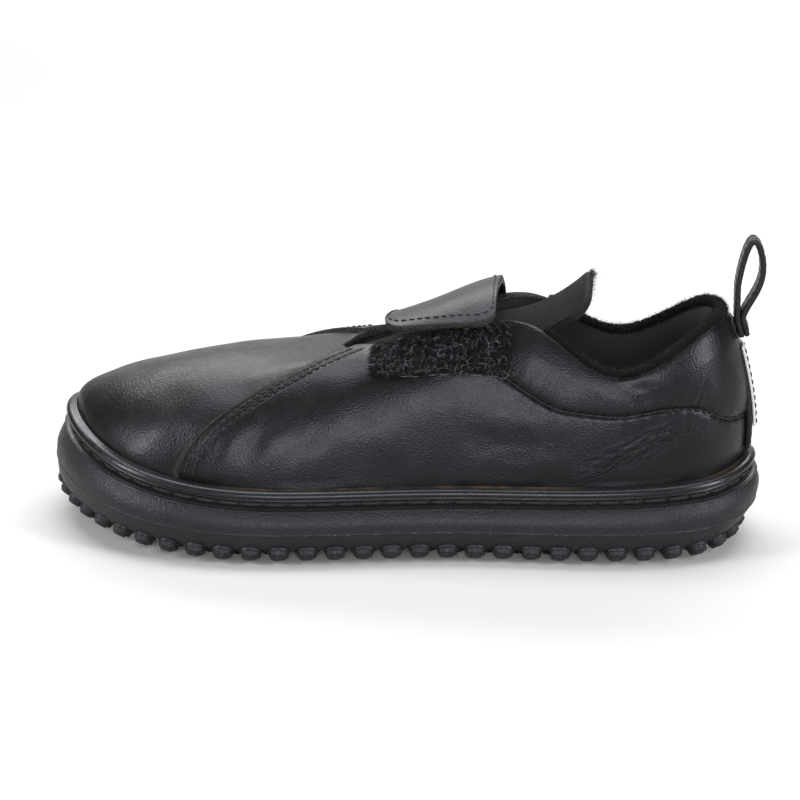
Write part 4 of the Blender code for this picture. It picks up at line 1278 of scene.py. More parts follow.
tongue_middle = tongue_grid()
tongue_points, tongue_faces, tongue_edge = soft_sheet(
    tongue_middle, TONGUE_THICKNESS, **TONGUE_EDGE
)
piece(
    "soft_tongue",
    tongue_points,
    tongue_faces,
    [tongue_finish()],
    "tongue_textile",
    "tongue",
    edge=tongue_edge,
    rib=tongue_points[:, 1] * 2.0 * math.pi / TONGUE_RIB,
)
piece("tongue_stitches", *tongue_stitches(tongue_middle), [THREAD], "tongue_textile")
tongue_sides = tongue_middle[TONGUE_FUZZ_FROM:]
tongue_rim = np.vstack([tongue_sides[:, 0], tongue_middle[-1], tongue_sides[::-1, -1]])
PILE_FIBRE = fibre_finish("pile_fibre", *PILE_GREY)
piece("tongue_fuzz", *rim_fuzz(tongue_rim, **TONGUE_FUZZ), [PILE_FIBRE], "tongue_textile")


# Collar trim: the raw edge of a thick dark terry lining, turned out and standing above the leather
# all round the collar, higher at the heel.
TRIM_SIDE_HEIGHT = 2.0
TRIM_HEEL_HEIGHT = 3.0
TRIM_PROUD = 0.4
TRIM_END_SHARE = 0.355
TRIM_END_ROUND = 0.012
TRIM_END_HEIGHT = 0.25
TRIM_COLUMNS = 320
TRIM_SIDES = 16
TRIM_LEAN_LEVEL = 0.97
TRIM_CLUMPS = (
    # wavelength, height, seed
    (1.5, 0.16, 51),
    (0.7, 0.08, 52),
)
TRIM_HAIRS = 9000
TRIM_HAIR_TURNS = (-0.35, 1.35)
TRIM_HAIR_LENGTH = (0.35, 1.0)
TRIM_HAIR_RADIUS = 0.045
TRIM_HAIR_SPREAD = 0.55
TRIM_HAIR_SUNK = 0.1
TRIM_SEEDS = {"places": 53, "curls": 54}
TERRY_GREY = ((0.00109, 0.00109, 0.00125), (0.00819, 0.00819, 0.00905))


def trim_frame(places):
    """Edge points, outward and upward ways, and the trim's height, at places round the collar."""
    edge = upper_face(places, 1.0, 0.0)
    up_way = unit(edge - upper_base(places, TRIM_LEAN_LEVEL))
    heelward = np.cos(np.clip(places / TRIM_END_SHARE, -1.0, 1.0) * math.pi / 2.0) ** 2
    height = TRIM_SIDE_HEIGHT + (TRIM_HEEL_HEIGHT - TRIM_SIDE_HEIGHT) * heelward
    cut = corner_cut(np.abs(places) / TRIM_END_SHARE, TRIM_END_ROUND / TRIM_END_SHARE)
    return edge, upper_normal(places, 1.0), up_way, height * (1.0 - (1.0 - TRIM_END_HEIGHT) * cut)


def trim_points(places, turn):
    """Points and outward ways of the trim's round section at a turn about its middle."""
    edge, normal, up_way, height = trim_frame(places)
    out = np.cos(turn) * (UPPER_WALL / 2.0 + TRIM_PROUD) - UPPER_WALL / 2.0
    rise = SEAT_GAP / 2.0 + height * (0.5 + 0.5 * np.sin(turn))
    points = edge + normal * out[:, None] + up_way * rise[:, None]
    return points, unit(normal * np.cos(turn)[:, None] + up_way * np.sin(turn)[:, None])


def trim_body():
    """Closed lumpy roll of terry along the collar."""
    places = np.linspace(-TRIM_END_SHARE, TRIM_END_SHARE, TRIM_COLUMNS)
    lines = []
    for turn in 2.0 * math.pi * np.arange(TRIM_SIDES) / TRIM_SIDES:
        points, ways = trim_points(places, np.full(TRIM_COLUMNS, turn))
        for wavelength, height, seed in TRIM_CLUMPS:
            points = points + ways * (height * swell(points, wavelength, seed))[:, None]
        lines.append(points)
    faces = grid_faces(TRIM_COLUMNS, TRIM_SIDES, round_columns=True)
    return np.stack(lines, axis=1).reshape(-1, 3), faces + end_faces(TRIM_SIDES, TRIM_COLUMNS)


def trim_fuzz():
    """Short terry hairs all over the roll."""
    draw = np.random.default_rng(TRIM_SEEDS["places"])
    places = draw.uniform(-TRIM_END_SHARE, TRIM_END_SHARE, TRIM_HAIRS)
    first, last = TRIM_HAIR_TURNS
    roots, ways = trim_points(places, draw.uniform(first * math.pi, last * math.pi, TRIM_HAIRS))
    ways = unit(ways + draw.normal(size=ways.shape) * TRIM_HAIR_SPREAD)
    lengths = draw.uniform(*TRIM_HAIR_LENGTH, TRIM_HAIRS)
    roots = roots - ways * TRIM_HAIR_SUNK
    return fuzz(roots, ways, lengths, TRIM_HAIR_RADIUS, TRIM_SEEDS["curls"], steps=3)


def pile_finish():
    """Dark grey terry: matt, with clumps of deeper shade."""
    pile = Finish("terry_pile", TERRY_GREY[1], 0.95, Specular_IOR_Level=0.06)
    pile.colour(pile.blended(pile.noise(0.9, 5.0), *TERRY_GREY))
    pile.emboss(pile.noise(0.35, 4.0), 0.35, 1.0)
    return pile


PILE = pile_finish()
piece("collar_roll", *trim_body(), [PILE], "pile_edge", "collar_trim")
piece("collar_fuzz", *trim_fuzz(), [PILE_FIBRE], "pile_edge")


# Loop tape: the soft half of the fastening, a black knitted tape of tangled loops sewn flat to
# the outer quarter along the throat edge. A pale frayed thread shows along its lower border.
TAPE_THICKNESS = 1.2
TAPE_EDGE = {"rounding": 0.4, "power": 2.5}
LOOP_TAPE = {"along": (70.0, 108.0), "level": (0.68, 0.97)}
LOOP_TAPE_CORNERS = {"front": 5.0, "rear": 1.5, "share": 0.5}
LOOP_TAPE_GRID = (30, 70)
LOOP_TAPE_MARGINS = (0.05, 0.02)
PILE_LOOPS = {"count": 4600, "lift": 0.85, "radius": 0.045, "seed": 61}
STRAY_LOOPS = {"count": 480, "lift": 1.25, "radius": 0.06, "seed": 62}
LOOP_RUNS = (0.005, 0.995)
LOOP_RISES = (0.01, 0.99)
LOOP_LENGTH = (1.2, 2.8)
LOOP_STEPS = 6
LOOP_ROOT = 0.8
LOOP_TURN = 0.9
LOOP_LEAST_LIFT = 0.3
LOOP_SWAY = 0.5
LOOP_TAPER = (1.0, 1.0, 0.7)
LOOP_BLACK = ((0.000468, 0.000468, 0.000624), (0.0133, 0.0133, 0.016))
STRAY_GREY = ((0.00936, 0.00936, 0.0113), (0.117, 0.117, 0.131))
BORDER = {"corner": 10, "rise": 0.2, "steps": 110, "end": 0.97, "out": 0.35, "drop": 0.15}
BORDER_SWAY = {"wavelength": 3.0, "height": 0.18, "seed": 64}
BORDER_RADIUS = 0.09
BORDER_SIDES = 5
BORDER_TAPER = (0.4, 1.0, 0.8, 1.0, 0.4)
BORDER_RUNS = ((0, 26), (30, 58), (63, 84), (92, 116))
LOOSE_STARTS = (4, 9, 14, 38, 61, 66, 95)
LOOSE_WAY = (0.4, -0.9, -0.4)
LOOSE_SPREAD = (1.0, 0.5, 0.6)
LOOSE_LENGTH = (1.5, 4.2)
LOOSE_CURL = 0.5
LOOSE_RADIUS = 0.06
LOOSE_SIDES = 4
LOOSE_STEPS = 9
LOOSE_SEED = 63
FRAYED_WHITE = ((0.078, 0.078, 0.078), (0.234, 0.234, 0.228))
QUARTER_START = 0.25
QUARTER_STEPS = 120


def places_along(along, level, side):
    """Ring places on one side where the upper's face reaches an along."""
    places = on_side(np.linspace(QUARTER_START, SEAM_SHARE, QUARTER_STEPS), side)
    return np.interp(along, upper_base(places, level)[:, 0], places)


def tape_place(run, rise):
    """Ring place and level on the tape, from its run and rise between 0 and 1."""
    cut = corner_cut(np.abs(2.0 * rise - 1.0), LOOP_TAPE_CORNERS["share"])
    rear = LOOP_TAPE["along"][0] + cut * LOOP_TAPE_CORNERS["rear"]
    front = LOOP_TAPE["along"][1] - cut * LOOP_TAPE_CORNERS["front"]
    levels = np.interp(rise, (0.0, 1.0), LOOP_TAPE["level"])
    spots = zip(rear + run * (front - rear), levels)
    return np.array([places_along(along, level, OUTER) for along, level in spots]), levels


def tape_grid():
    """Middle sheet of the loop tape."""
    rises, runs = (edged(*row) for row in zip(LOOP_TAPE_GRID, LOOP_TAPE_MARGINS))
    rows = []
    for rise in rises:
        place = tape_place(runs, np.full(len(runs), rise))
        rows.append(upper_face(*place, SEAT_GAP + TAPE_THICKNESS / 2.0))
    return np.stack(rows)


def tape_loops(count, lift, radius, seed):
    """Tangled loops that arch over the tape in every direction."""
    draw = np.random.default_rng(seed)
    runs = draw.uniform(*LOOP_RUNS, count)
    rises = draw.uniform(*LOOP_RISES, count)
    place = tape_place(runs, rises)
    normal = upper_normal(*place)
    roots = upper_face(*place, SEAT_GAP + TAPE_THICKNESS * LOOP_ROOT)
    ways = unit(np.cross(normal, draw.normal(size=roots.shape)))
    length = draw.uniform(*LOOP_LENGTH, count)
    share = np.linspace(0.0, 1.0, LOOP_STEPS)
    arch = draw.uniform(LOOP_LEAST_LIFT * lift, lift, count)[:, None]
    arch = arch * np.sin(math.pi * LOOP_TURN * share)
    sway = np.cross(normal, ways) * draw.normal(size=(count, 1)) * LOOP_SWAY
    lines = roots[:, None, :] + ways[:, None, :] * (length[:, None] * (share - 0.5))[:, :, None]
    lines = lines + normal[:, None, :] * arch[:, :, None]
    lines = lines + sway[:, None, :] * np.sin(2.0 * math.pi * share)[None, :, None]
    return strands(lines, radius, taper=LOOP_TAPER)


def border_thread():
    """Pale frayed thread along the tape's lower and rear border, with a few loose ends."""
    draw = np.random.default_rng(LOOSE_SEED)
    corner, steps = BORDER["corner"], BORDER["steps"]
    runs = np.concatenate([np.zeros(corner), np.linspace(0.0, BORDER["end"], steps)])
    rises = np.concatenate([np.linspace(BORDER["rise"], 0.0, corner), np.zeros(steps)])
    path = upper_face(*tape_place(runs, rises), SEAT_GAP + BORDER["out"])
    sway = swell(path, BORDER_SWAY["wavelength"], BORDER_SWAY["seed"])
    path[:, 2] += BORDER_SWAY["height"] * sway - BORDER["drop"]
    threads = []
    for first, last in BORDER_RUNS:
        run = path[None, first:last]
        threads.append(strands(run, BORDER_RADIUS, BORDER_SIDES, BORDER_TAPER))
    share = np.linspace(0.0, 1.0, LOOSE_STEPS)[:, None]
    for start in LOOSE_STARTS:
        way = unit(draw.normal(size=3) * LOOSE_SPREAD + LOOSE_WAY)
        curl = unit(draw.normal(size=3))
        length = draw.uniform(*LOOSE_LENGTH)
        loose = path[start] + length * (way * share + LOOSE_CURL * curl * share**2)
        threads.append(strands(loose[None], LOOSE_RADIUS, LOOSE_SIDES))
    return joined(threads)


tape_points, tape_faces, _ = soft_sheet(tape_grid(), TAPE_THICKNESS, **TAPE_EDGE)
LOOP_FIBRE = fibre_finish("loop_fibre", *LOOP_BLACK)
STRAY_FIBRE = fibre_finish("stray_loop_fibre", *STRAY_GREY)
PALE_THREAD = fibre_finish("frayed_thread", *FRAYED_WHITE)
piece("loop_tape_ground", tape_points, tape_faces, [PILE], "loop_pile", "loop_tape")
piece("loop_tape_loops", *tape_loops(**PILE_LOOPS), [LOOP_FIBRE], "loop_pile")
piece("loop_tape_strays", *tape_loops(**STRAY_LOOPS), [STRAY_FIBRE], "loop_pile")
piece("loop_tape_border", *border_thread(), [PALE_THREAD], "loop_pile")


# Strap: a cut leather strap sewn to the inner quarter. It arches over the tongue and its round
# end hangs free above the outer throat edge, undone. Stitches run round it inside the cut edge.
STRAP_ALONG = (73.0, 103.0)
STRAP_BASE_LEVEL = (0.55, 0.985)
STRAP_THICKNESS = 2.2
STRAP_EDGE = {"rounding": 0.35, "power": 3.5}
STRAP_RAW = (0.55, 0.9)
STRAP_LIFT = 7.0
STRAP_END_LEVEL = 0.90
STRAP_LEAVE = 13.0
STRAP_ARRIVE = 12.0
STRAP_CORNER = 6.0
STRAP_CORNER_SHARE = 0.35
STRAP_LEAN_LEVELS = (0.9, 0.98)
STRAP_COLUMNS = 40
STRAP_MARGIN = 0.03
STRAP_SEWN_END = (0.0, 0.004, 0.012, 0.024, 0.036)
STRAP_BASE_START = 0.05
STRAP_BASE_ROWS = 26
STRAP_ARCH_ROWS = 70
STRAP_ARCH_END = 0.97
STRAP_FREE_END = (0.9775, 0.985, 0.9925, 0.9975, 1.0)
STRAP_STITCH = {"pitch": 2.3, "length": 1.85}
STRAP_STITCH_INSET = 2.6
STRAP_STITCH_OUT = 0.47
PATH_SMOOTHING = 3


def strap_arch(side, shares):
    """Middle sheet of the strap's arch, from its fold at the inner throat edge to its free end."""
    along = np.interp(side, (-1.0, 1.0), STRAP_ALONG)

    def face_at(level, which, out):
        return upper_face(places_along(along, level, which), level, out)

    middle = SEAT_GAP + STRAP_THICKNESS / 2.0
    below, above = STRAP_LEAN_LEVELS
    leave_from = face_at(STRAP_BASE_LEVEL[1], INNER, middle)
    leave_way = unit(leave_from - face_at(below, INNER, middle)) * STRAP_LEAVE
    arrive_at = face_at(STRAP_END_LEVEL, OUTER, STRAP_LIFT)
    arrive_way = unit(arrive_at - face_at(above, OUTER, STRAP_LIFT)) * STRAP_ARRIVE
    corner = STRAP_CORNER / np.linalg.norm(arrive_at - leave_from, axis=1)
    reach = 1.0 - corner * corner_cut(np.abs(side), STRAP_CORNER_SHARE)
    rows = []
    for share in shares:
        run = (share * reach)[:, None]
        rows.append(curved(leave_from, leave_way, -arrive_way, arrive_at, run))
    return np.stack(rows)


def strap_grid():
    """Middle sheet of the whole strap, from its sewn base to its free end."""
    side = 2.0 * edged(STRAP_COLUMNS, STRAP_MARGIN) - 1.0
    along = np.interp(side, (-1.0, 1.0), STRAP_ALONG)
    even = np.linspace(STRAP_BASE_START, 1.0, STRAP_BASE_ROWS)[:-1]
    base = []
    for level in np.interp(np.append(STRAP_SEWN_END, even), (0.0, 1.0), STRAP_BASE_LEVEL):
        places = places_along(along, level, INNER)
        base.append(upper_face(places, level, SEAT_GAP + STRAP_THICKNESS / 2.0))
    shares = np.append(np.linspace(0.0, STRAP_ARCH_END, STRAP_ARCH_ROWS), STRAP_FREE_END)
    return np.concatenate([np.stack(base), strap_arch(side, shares)])


def inset_path(grid, inset):
    """A line round a sheet's grid at an inset from its edge, with the sheet's normals along it."""
    reach = reach_from_edge(grid)
    middle = grid.shape[1] // 2
    left = [int(np.argmin(np.abs(row[:middle] - inset))) for row in reach]
    right = [middle + int(np.argmin(np.abs(row[middle:] - inset))) for row in reach]
    rows = [row for row in range(grid.shape[0]) if reach[row, middle] >= inset]
    first, last = rows[0], rows[-1]
    places = [(row, left[row]) for row in rows]
    places += [(last, column) for column in range(left[last] + 1, right[last])]
    places += [(row, right[row]) for row in reversed(rows)]
    places += [(first, column) for column in range(right[first] - 1, left[first], -1)]
    index = tuple(np.array(places).T)
    path = grid[index]
    for _ in range(PATH_SMOOTHING):
        inner = 0.25 * path[:-2] + 0.5 * path[1:-1] + 0.25 * path[2:]
        path = np.vstack([path[:1], inner, path[-1:]])
    return path, sheet_normals(grid)[index]


strap_middle = strap_grid()
strap_points, strap_faces, strap_edge = soft_sheet(strap_middle, STRAP_THICKNESS, **STRAP_EDGE)
strap_raw = ramp(strap_edge, *STRAP_RAW)
piece(
    "strap_leather",
    strap_points,
    strap_faces,
    [LEATHER],
    "strap_leather",
    "strap",
    raw=strap_raw,
)
strap_path, strap_ways = inset_path(strap_middle, STRAP_STITCH_INSET)
strap_ways = strap_ways * np.sign(strap_ways[len(strap_ways) // 2, 2])
strap_path = strap_path + strap_ways * STRAP_THICKNESS * STRAP_STITCH_OUT
strap_stitches = stitch_row(strap_path, strap_ways, **STRAP_STITCH)
piece("strap_stitches", *strap_stitches, [THREAD], "strap_leather")


# Hook tape: the stiff half of the fastening, a thin woven tape with rows of small nylon hooks,
# sewn under the free end of the strap.
HOOK_TAPE_SPAN = (0.52, 0.93)
HOOK_TAPE_WIDTH = 0.8
HOOK_TAPE_GRID = (24, 30)
HOOK_TAPE_MARGIN = 0.04
HOOK_PITCH = 1.15
HOOK_MARGIN = 0.8
HOOK_HEIGHT = 0.8
HOOK_SUNK = 0.1
HOOK_CURL = 0.45
HOOK_TURN = 0.72
HOOK_WAY = (0.2, 0.3, 1.0)
HOOK_RADIUS = 0.1
HOOK_STEPS = 6
HOOK_SIDES = 4
HOOK_TAPER = (1.0, 0.9, 0.7)
NYLON_GREY = ((0.00468, 0.00468, 0.00515), (0.0156, 0.0156, 0.0166))


def hook_grid():
    """Middle sheet of the hook tape under the strap's arch, and its normals."""
    runs, sides = (edged(count, HOOK_TAPE_MARGIN) for count in HOOK_TAPE_GRID)
    side = HOOK_TAPE_WIDTH * (2.0 * sides - 1.0)
    grid = strap_arch(side, np.interp(runs, (0.0, 1.0), HOOK_TAPE_SPAN))
    normals = sheet_normals(grid)
    normals *= np.sign(normals[:, :, 2:3].mean())
    return grid - normals * (STRAP_THICKNESS / 2.0 + SEAT_GAP + TAPE_THICKNESS / 2.0), normals


def over_sheet(sheet, rows, columns):
    """Values on a sheet's grid at fractions of its rows and columns, column by column."""
    lines = along_path(sheet.swapaxes(0, 1).reshape(sheet.shape[1], -1), columns)
    return np.vstack([along_path(line, rows) for line in lines.reshape(len(columns), -1, 3)])


def hooks(grid, normals):
    """Rows of small bent hooks under the tape."""
    rows = walked(grid[:, grid.shape[1] // 2], HOOK_PITCH, HOOK_MARGIN)
    columns = walked(grid[grid.shape[0] // 2], HOOK_PITCH, HOOK_MARGIN)
    down = -unit(over_sheet(normals, rows, columns))
    bend = unit(np.cross(down, HOOK_WAY))
    turn = np.linspace(0.0, 1.0, HOOK_STEPS) * math.pi * HOOK_TURN
    rise = TAPE_THICKNESS / 2.0 - HOOK_SUNK + HOOK_HEIGHT * np.sin(turn)
    over = HOOK_CURL * (1.0 - np.cos(turn))
    lines = over_sheet(grid, rows, columns)[:, None, :] + down[:, None, :] * rise[:, None]
    lines = lines + bend[:, None, :] * over[:, None]
    return strands(lines, HOOK_RADIUS, HOOK_SIDES, HOOK_TAPER)


NYLON = textile_finish("woven_nylon", *NYLON_GREY, 0.45, 0.6)
hook_middle, hook_normals = hook_grid()
hook_points, hook_faces, _ = soft_sheet(hook_middle, TAPE_THICKNESS, **TAPE_EDGE)
piece("hook_tape_ground", hook_points, hook_faces, [NYLON], "hook_pile", "hook_tape")
piece("hook_tape_hooks", *hooks(hook_middle, hook_normals), [NYLON], "hook_pile")


# Heel strip: a black leather strip over the seam at the back of the heel, from the bead to the
# collar, with soft fuzzy cut edges and a row of stitches inside each.
HEEL_STRIP = {"half_width": 6.0, "level": (0.04, 0.965), "thickness": 1.3}
HEEL_STRIP_SEWN = 0.4
HEEL_EDGE = {"rounding": 0.5, "power": 2.4}
HEEL_RAW = (0.6, 1.0)
HEEL_RAW_STRENGTH = 0.35
HEEL_GRID = (70, 26)
HEEL_MARGINS = (0.02, 0.06)
HEEL_FUZZ = {"per_mm": 24.0, "length": 0.8, "radius": 0.035, "spread": 0.25}
HEEL_FUZZ_SEEDS = {0: 71, -1: 77}
HEEL_STITCH = {"pitch": 2.3, "length": 1.8}
HEEL_STITCH_OUT = 0.6
STRIP_STITCH_COLUMNS = (6, -7)
STRIP_STITCH_ENDS = slice(4, -4)


def heel_grid(sizes, low):
    """Middle sheet of a strip up the middle of the heel, at a height above the upper's face."""
    rows, columns = (edged(*row) for row in zip(HEEL_GRID, HEEL_MARGINS))
    places = 2.0 * sizes["half_width"] / OUTSIDE.length * (2.0 * columns - 1.0)
    levels = np.interp(rows, (0.0, 1.0), sizes["level"])
    out = low + sizes["thickness"] / 2.0
    return np.stack([upper_face(places, level, out) for level in levels])


def strip_stitches(middle, out, pitch, length):
    """A row of stitches down each side of a strip at the heel."""
    normals = sheet_normals(middle)
    rows = []
    for column in STRIP_STITCH_COLUMNS:
        ways = normals[STRIP_STITCH_ENDS, column]
        ways = ways * -np.sign(ways[:, :1])
        path = middle[STRIP_STITCH_ENDS, column] + ways * out
        rows.append(stitch_row(path, ways, pitch, length))
    return joined(rows)


heel_middle = heel_grid(HEEL_STRIP, SEAT_GAP - HEEL_STRIP_SEWN / 2.0)
heel_thickness = HEEL_STRIP["thickness"] + HEEL_STRIP_SEWN
heel_points, heel_faces, heel_edge = soft_sheet(heel_middle, heel_thickness, **HEEL_EDGE)
piece(
    "heel_strip_leather",
    heel_points,
    heel_faces,
    [LEATHER],
    "heel_leather",
    "heel_strip",
    raw=ramp(heel_edge, *HEEL_RAW) * HEEL_RAW_STRENGTH,
)
heel_sides = []
for heel_column, heel_seed in HEEL_FUZZ_SEEDS.items():
    heel_sides.append(rim_fuzz(heel_middle[:, heel_column], seed=heel_seed, **HEEL_FUZZ))
piece("heel_strip_fuzz", *joined(heel_sides), [PILE_FIBRE], "heel_leather")
heel_stitches = strip_stitches(heel_middle, HEEL_STITCH_OUT, **HEEL_STITCH)
piece("heel_strip_stitches", *heel_stitches, [THREAD], "heel_leather")


# Reflective strip: silver-grey tape with a fine slanting weave, laid on the heel strip and sewn
# down along its edges with dark thread.
REFLECTIVE_STRIP = {"half_width": 4.5, "level": (0.2, 0.78), "thickness": 0.9}
REFLECTIVE_EDGE = {"rounding": 0.8, "power": 2.0}
REFLECTIVE_SUNK = 0.2
REFLECTIVE_PITCH = 0.8
REFLECTIVE_STITCH = {"pitch": 2.2, "length": 1.7}
REFLECTIVE_STITCH_OUT = 0.42
REFLECTIVE_RIBS = ((0.281, 0.285, 0.289), (0.468, 0.476, 0.484))
REFLECTIVE_WORN = (0.39, 0.394, 0.398)


def reflective_finish():
    """Silver-grey tape: bright slanting ribs over a slightly darker ground."""
    tape = Finish("reflective_tape", REFLECTIVE_RIBS[1], 0.42, Metallic=0.15)
    rib = tape.combined(tape.mark("slant"), 0.0, "SINE")
    ground = tape.blended(tape.ranged(rib, -1.0, 1.0), *REFLECTIVE_RIBS)
    worn = tape.ranged(tape.noise(2.4), 0.35, 0.75)
    tape.colour(tape.blended(worn, ground, REFLECTIVE_WORN))
    tape.roughness(tape.ranged(tape.noise(0.6), 0.3, 0.7, 0.34, 0.5))
    tape.emboss(rib, 0.06, 0.8)
    return tape


reflective_low = 2.0 * SEAT_GAP + HEEL_STRIP["thickness"]
reflective_middle = heel_grid(REFLECTIVE_STRIP, reflective_low - REFLECTIVE_SUNK)
reflective_points, reflective_faces, _ = soft_sheet(
    reflective_middle, REFLECTIVE_STRIP["thickness"], **REFLECTIVE_EDGE
)
reflective_slant = reflective_points[:, 1] + reflective_points[:, 2]
piece(
    "reflective_tape",
    reflective_points,
    reflective_faces,
    [reflective_finish()],
    "reflective_tape",
    "reflective_strip",
    slant=reflective_slant * 2.0 * math.pi / REFLECTIVE_PITCH,
)
reflective_stitches = strip_stitches(reflective_middle, REFLECTIVE_STITCH_OUT, **REFLECTIVE_STITCH)
piece("reflective_stitches", *reflective_stitches, [THREAD], "reflective_tape")


# Pull loop: a flat leather strip folded into a standing teardrop, both ends sewn to the heel strip
# above the reflective tape. Its cut edges are paler, and a row of stitches runs inside each.
PULL_WIDTH = 7.0
PULL_THICKNESS = 1.5
PULL_EDGE = {"rounding": 0.4, "power": 3.0}
PULL_RAW = (0.5, 0.85)
PULL_RAW_STRENGTH = 0.2
PULL_LEG_LEVEL = (0.84, 0.96)
PULL_LEG_ROWS = 4
PULL_ROWS = 150
PULL_COLUMNS = 14
PULL_MARGINS = (0.01, 0.1)
PULL_STITCH = {"pitch": 2.1, "length": 1.6, "radius": 0.13}
PULL_STITCH_INSET = 1.5
PULL_STITCH_OUT = 0.45
PULL_STITCH_ENDS = slice(6, -6)
PULL_TACK = {"pitch": 1.6, "length": 1.3, "radius": 0.16}
PULL_TACK_OUT = 0.47
PULL_TACK_ROWS = (-12, -24)
PULL_TACK_ENDS = slice(3, -3)
PULL_LOOP = (
    # place, back from the strip's face, above the collar edge
    ("inner leg", 0.2, 5.0),
    ("inner side", 0.6, 11.0),
    ("crown", 3.6, 20.0),
    ("outer side", 6.6, 12.0),
    ("outer leg", 3.6, 3.0),
)


def pull_path():
    """Middle line of the pull loop in the plane of the heel, as along and height."""
    foot = HEEL_STRIP["thickness"] + SEAT_GAP + PULL_THICKNESS / 2.0
    heel = np.zeros(1)
    levels = np.linspace(*PULL_LEG_LEVEL, PULL_LEG_ROWS)
    inner = [upper_face(heel, level, foot)[0] for level in levels]
    outer = [upper_face(heel, level, foot + PULL_THICKNESS)[0] for level in levels]
    edge = upper_face(heel, 1.0, foot)[0]
    free = [np.array([edge[0] - back, 0.0, edge[2] + above]) for _, back, above in PULL_LOOP]
    route = np.array(inner + free + outer[::-1])[:, (0, 2)]
    runs = runs_along(route)
    at = np.interp(edged(PULL_ROWS, PULL_MARGINS[0]) * runs[-1], runs, np.arange(len(route)))
    return through(route, at / (len(route) - 1.0))


def pull_grid():
    """Middle sheet of the loop's strip."""
    path = pull_path()
    across = PULL_WIDTH * (edged(PULL_COLUMNS, PULL_MARGINS[1]) - 0.5)
    grid = np.empty((len(path), len(across), 3))
    grid[:, :, 0] = path[:, 0:1]
    grid[:, :, 1] = across
    grid[:, :, 2] = path[:, 1:2]
    return grid


def pull_stitches(middle):
    """Rows inside both edges on both faces of the loop, and two tacks across its outer leg."""
    normals = sheet_normals(middle)
    leg_side = -np.sign(normals[PULL_TACK_ROWS[0], middle.shape[1] // 2, 0])
    rows = []
    for side in (-1.0, 1.0):
        edge_gap = np.abs(middle[0, :, 1] - side * (PULL_WIDTH / 2.0 - PULL_STITCH_INSET))
        place = (PULL_STITCH_ENDS, int(np.argmin(edge_gap)))
        for face in (-1.0, 1.0):
            path = middle[place] + face * normals[place] * PULL_THICKNESS * PULL_STITCH_OUT
            rows.append(stitch_row(path, face * normals[place], **PULL_STITCH))
    for row in PULL_TACK_ROWS:
        place = (row, PULL_TACK_ENDS)
        path = middle[place] + normals[place] * leg_side * PULL_THICKNESS * PULL_TACK_OUT
        rows.append(stitch_row(path, normals[place] * leg_side, **PULL_TACK))
    return joined(rows)


pull_middle = pull_grid()
pull_points, pull_faces, pull_edge = soft_sheet(pull_middle, PULL_THICKNESS, **PULL_EDGE)
piece(
    "pull_loop_leather",
    pull_points,
    pull_faces,
    [LEATHER],
    "loop_leather",
    "pull_loop",
    raw=ramp(pull_edge, *PULL_RAW) * PULL_RAW_STRENGTH,
)
piece("pull_loop_stitches", *pull_stitches(pull_middle), [THREAD], "loop_leather")


# Wall stitches: the sole is sewn to the upper through the groove, all round, with long stitches
# of thick dull black thread laid of two plies.
WALL_STITCH = {"pitch": 6.4, "length": 5.6, "radius": 0.38, "out": -3.0, "lift": -3.55}
WALL_STITCH_STEPS = 18
WALL_STITCH_DIP = {"depth": 0.9, "power": 6}
WALL_STITCH_TURNS = 2.5
WALL_PLY_OUT = 0.55
WALL_PLY_SIDES = 6
WALL_PLY_TAPER = (0.8, 1.0, 1.0, 0.8)
WALL_THREAD_GREY = ((0.005, 0.005, 0.0055), (0.02, 0.02, 0.0213))


def wall_stitches():
    """Two-ply stitches lying in the groove all round the sole."""
    half = WALL_STITCH["length"] / OUTSIDE.length
    share = np.linspace(-1.0, 1.0, WALL_STITCH_STEPS)
    dip = WALL_STITCH_DIP["depth"] * np.abs(share) ** WALL_STITCH_DIP["power"]
    lines = []
    for centre in OUTSIDE.even_places(-WALL_STITCH["out"], WALL_STITCH["pitch"]):
        places = centre + half * share
        path = sole_ring(places, WALL_STITCH["out"], 1.0, WALL_STITCH["lift"])
        outward = np.column_stack([OUTSIDE.normal(places), np.zeros(len(places))])
        path = path - outward * dip[:, None]
        for ply in (0.0, math.pi):
            turn = math.pi * WALL_STITCH_TURNS * share + ply
            twist = outward * np.cos(turn)[:, None]
            twist = twist + np.array([0.0, 0.0, 1.0]) * np.sin(turn)[:, None]
            lines.append(path + twist * WALL_STITCH["radius"] * WALL_PLY_OUT)
    return strands(np.array(lines), WALL_STITCH["radius"], WALL_PLY_SIDES, WALL_PLY_TAPER)


WALL_THREAD = thread_finish("dull_thread", 0.8, *WALL_THREAD_GREY)
piece("wall_stitches", *wall_stitches(), [WALL_THREAD], "sole_rubber")


# Insole: a loose flat footbed of dark brushed textile on thin foam. It is cut to the inside of
# the upper with a little ease, its top edge is rounded, and it is laid in the cup last.
INSOLE_THICKNESS = 2.7
INSOLE_EASE = 0.9
INSOLE_COLUMNS = 240
INSOLE_EDGE = (
    # drawn in from the edge, share of the thickness
    (0.5, 0.0),
    (0.0, 0.2),
    (0.0, 0.7),
    (0.25, 0.9),
    (0.9, 1.0),
    (3.5, 0.98),
)
FOOTBED_GREY = ((0.0078, 0.0078, 0.00835), (0.025, 0.025, 0.0265))
insole_places = 2.0 * np.arange(INSOLE_COLUMNS) / INSOLE_COLUMNS
insole_inset = CUP_WALL + 2.0 * SEAT_GAP + UPPER_WALL + INSOLE_EASE
insole_low = FLOOR_THICKNESS + SEAT_GAP
insole_rings = []
for drawn_in, thick_share in INSOLE_EDGE:
    edge_lift = insole_low + thick_share * INSOLE_THICKNESS
    insole_rings.append(sole_ring(insole_places, -insole_inset - drawn_in, 0.0, edge_lift))
insole_faces = ring_faces(len(insole_rings), INSOLE_COLUMNS)
FOOTBED = textile_finish("footbed_textile", *FOOTBED_GREY, 0.7)
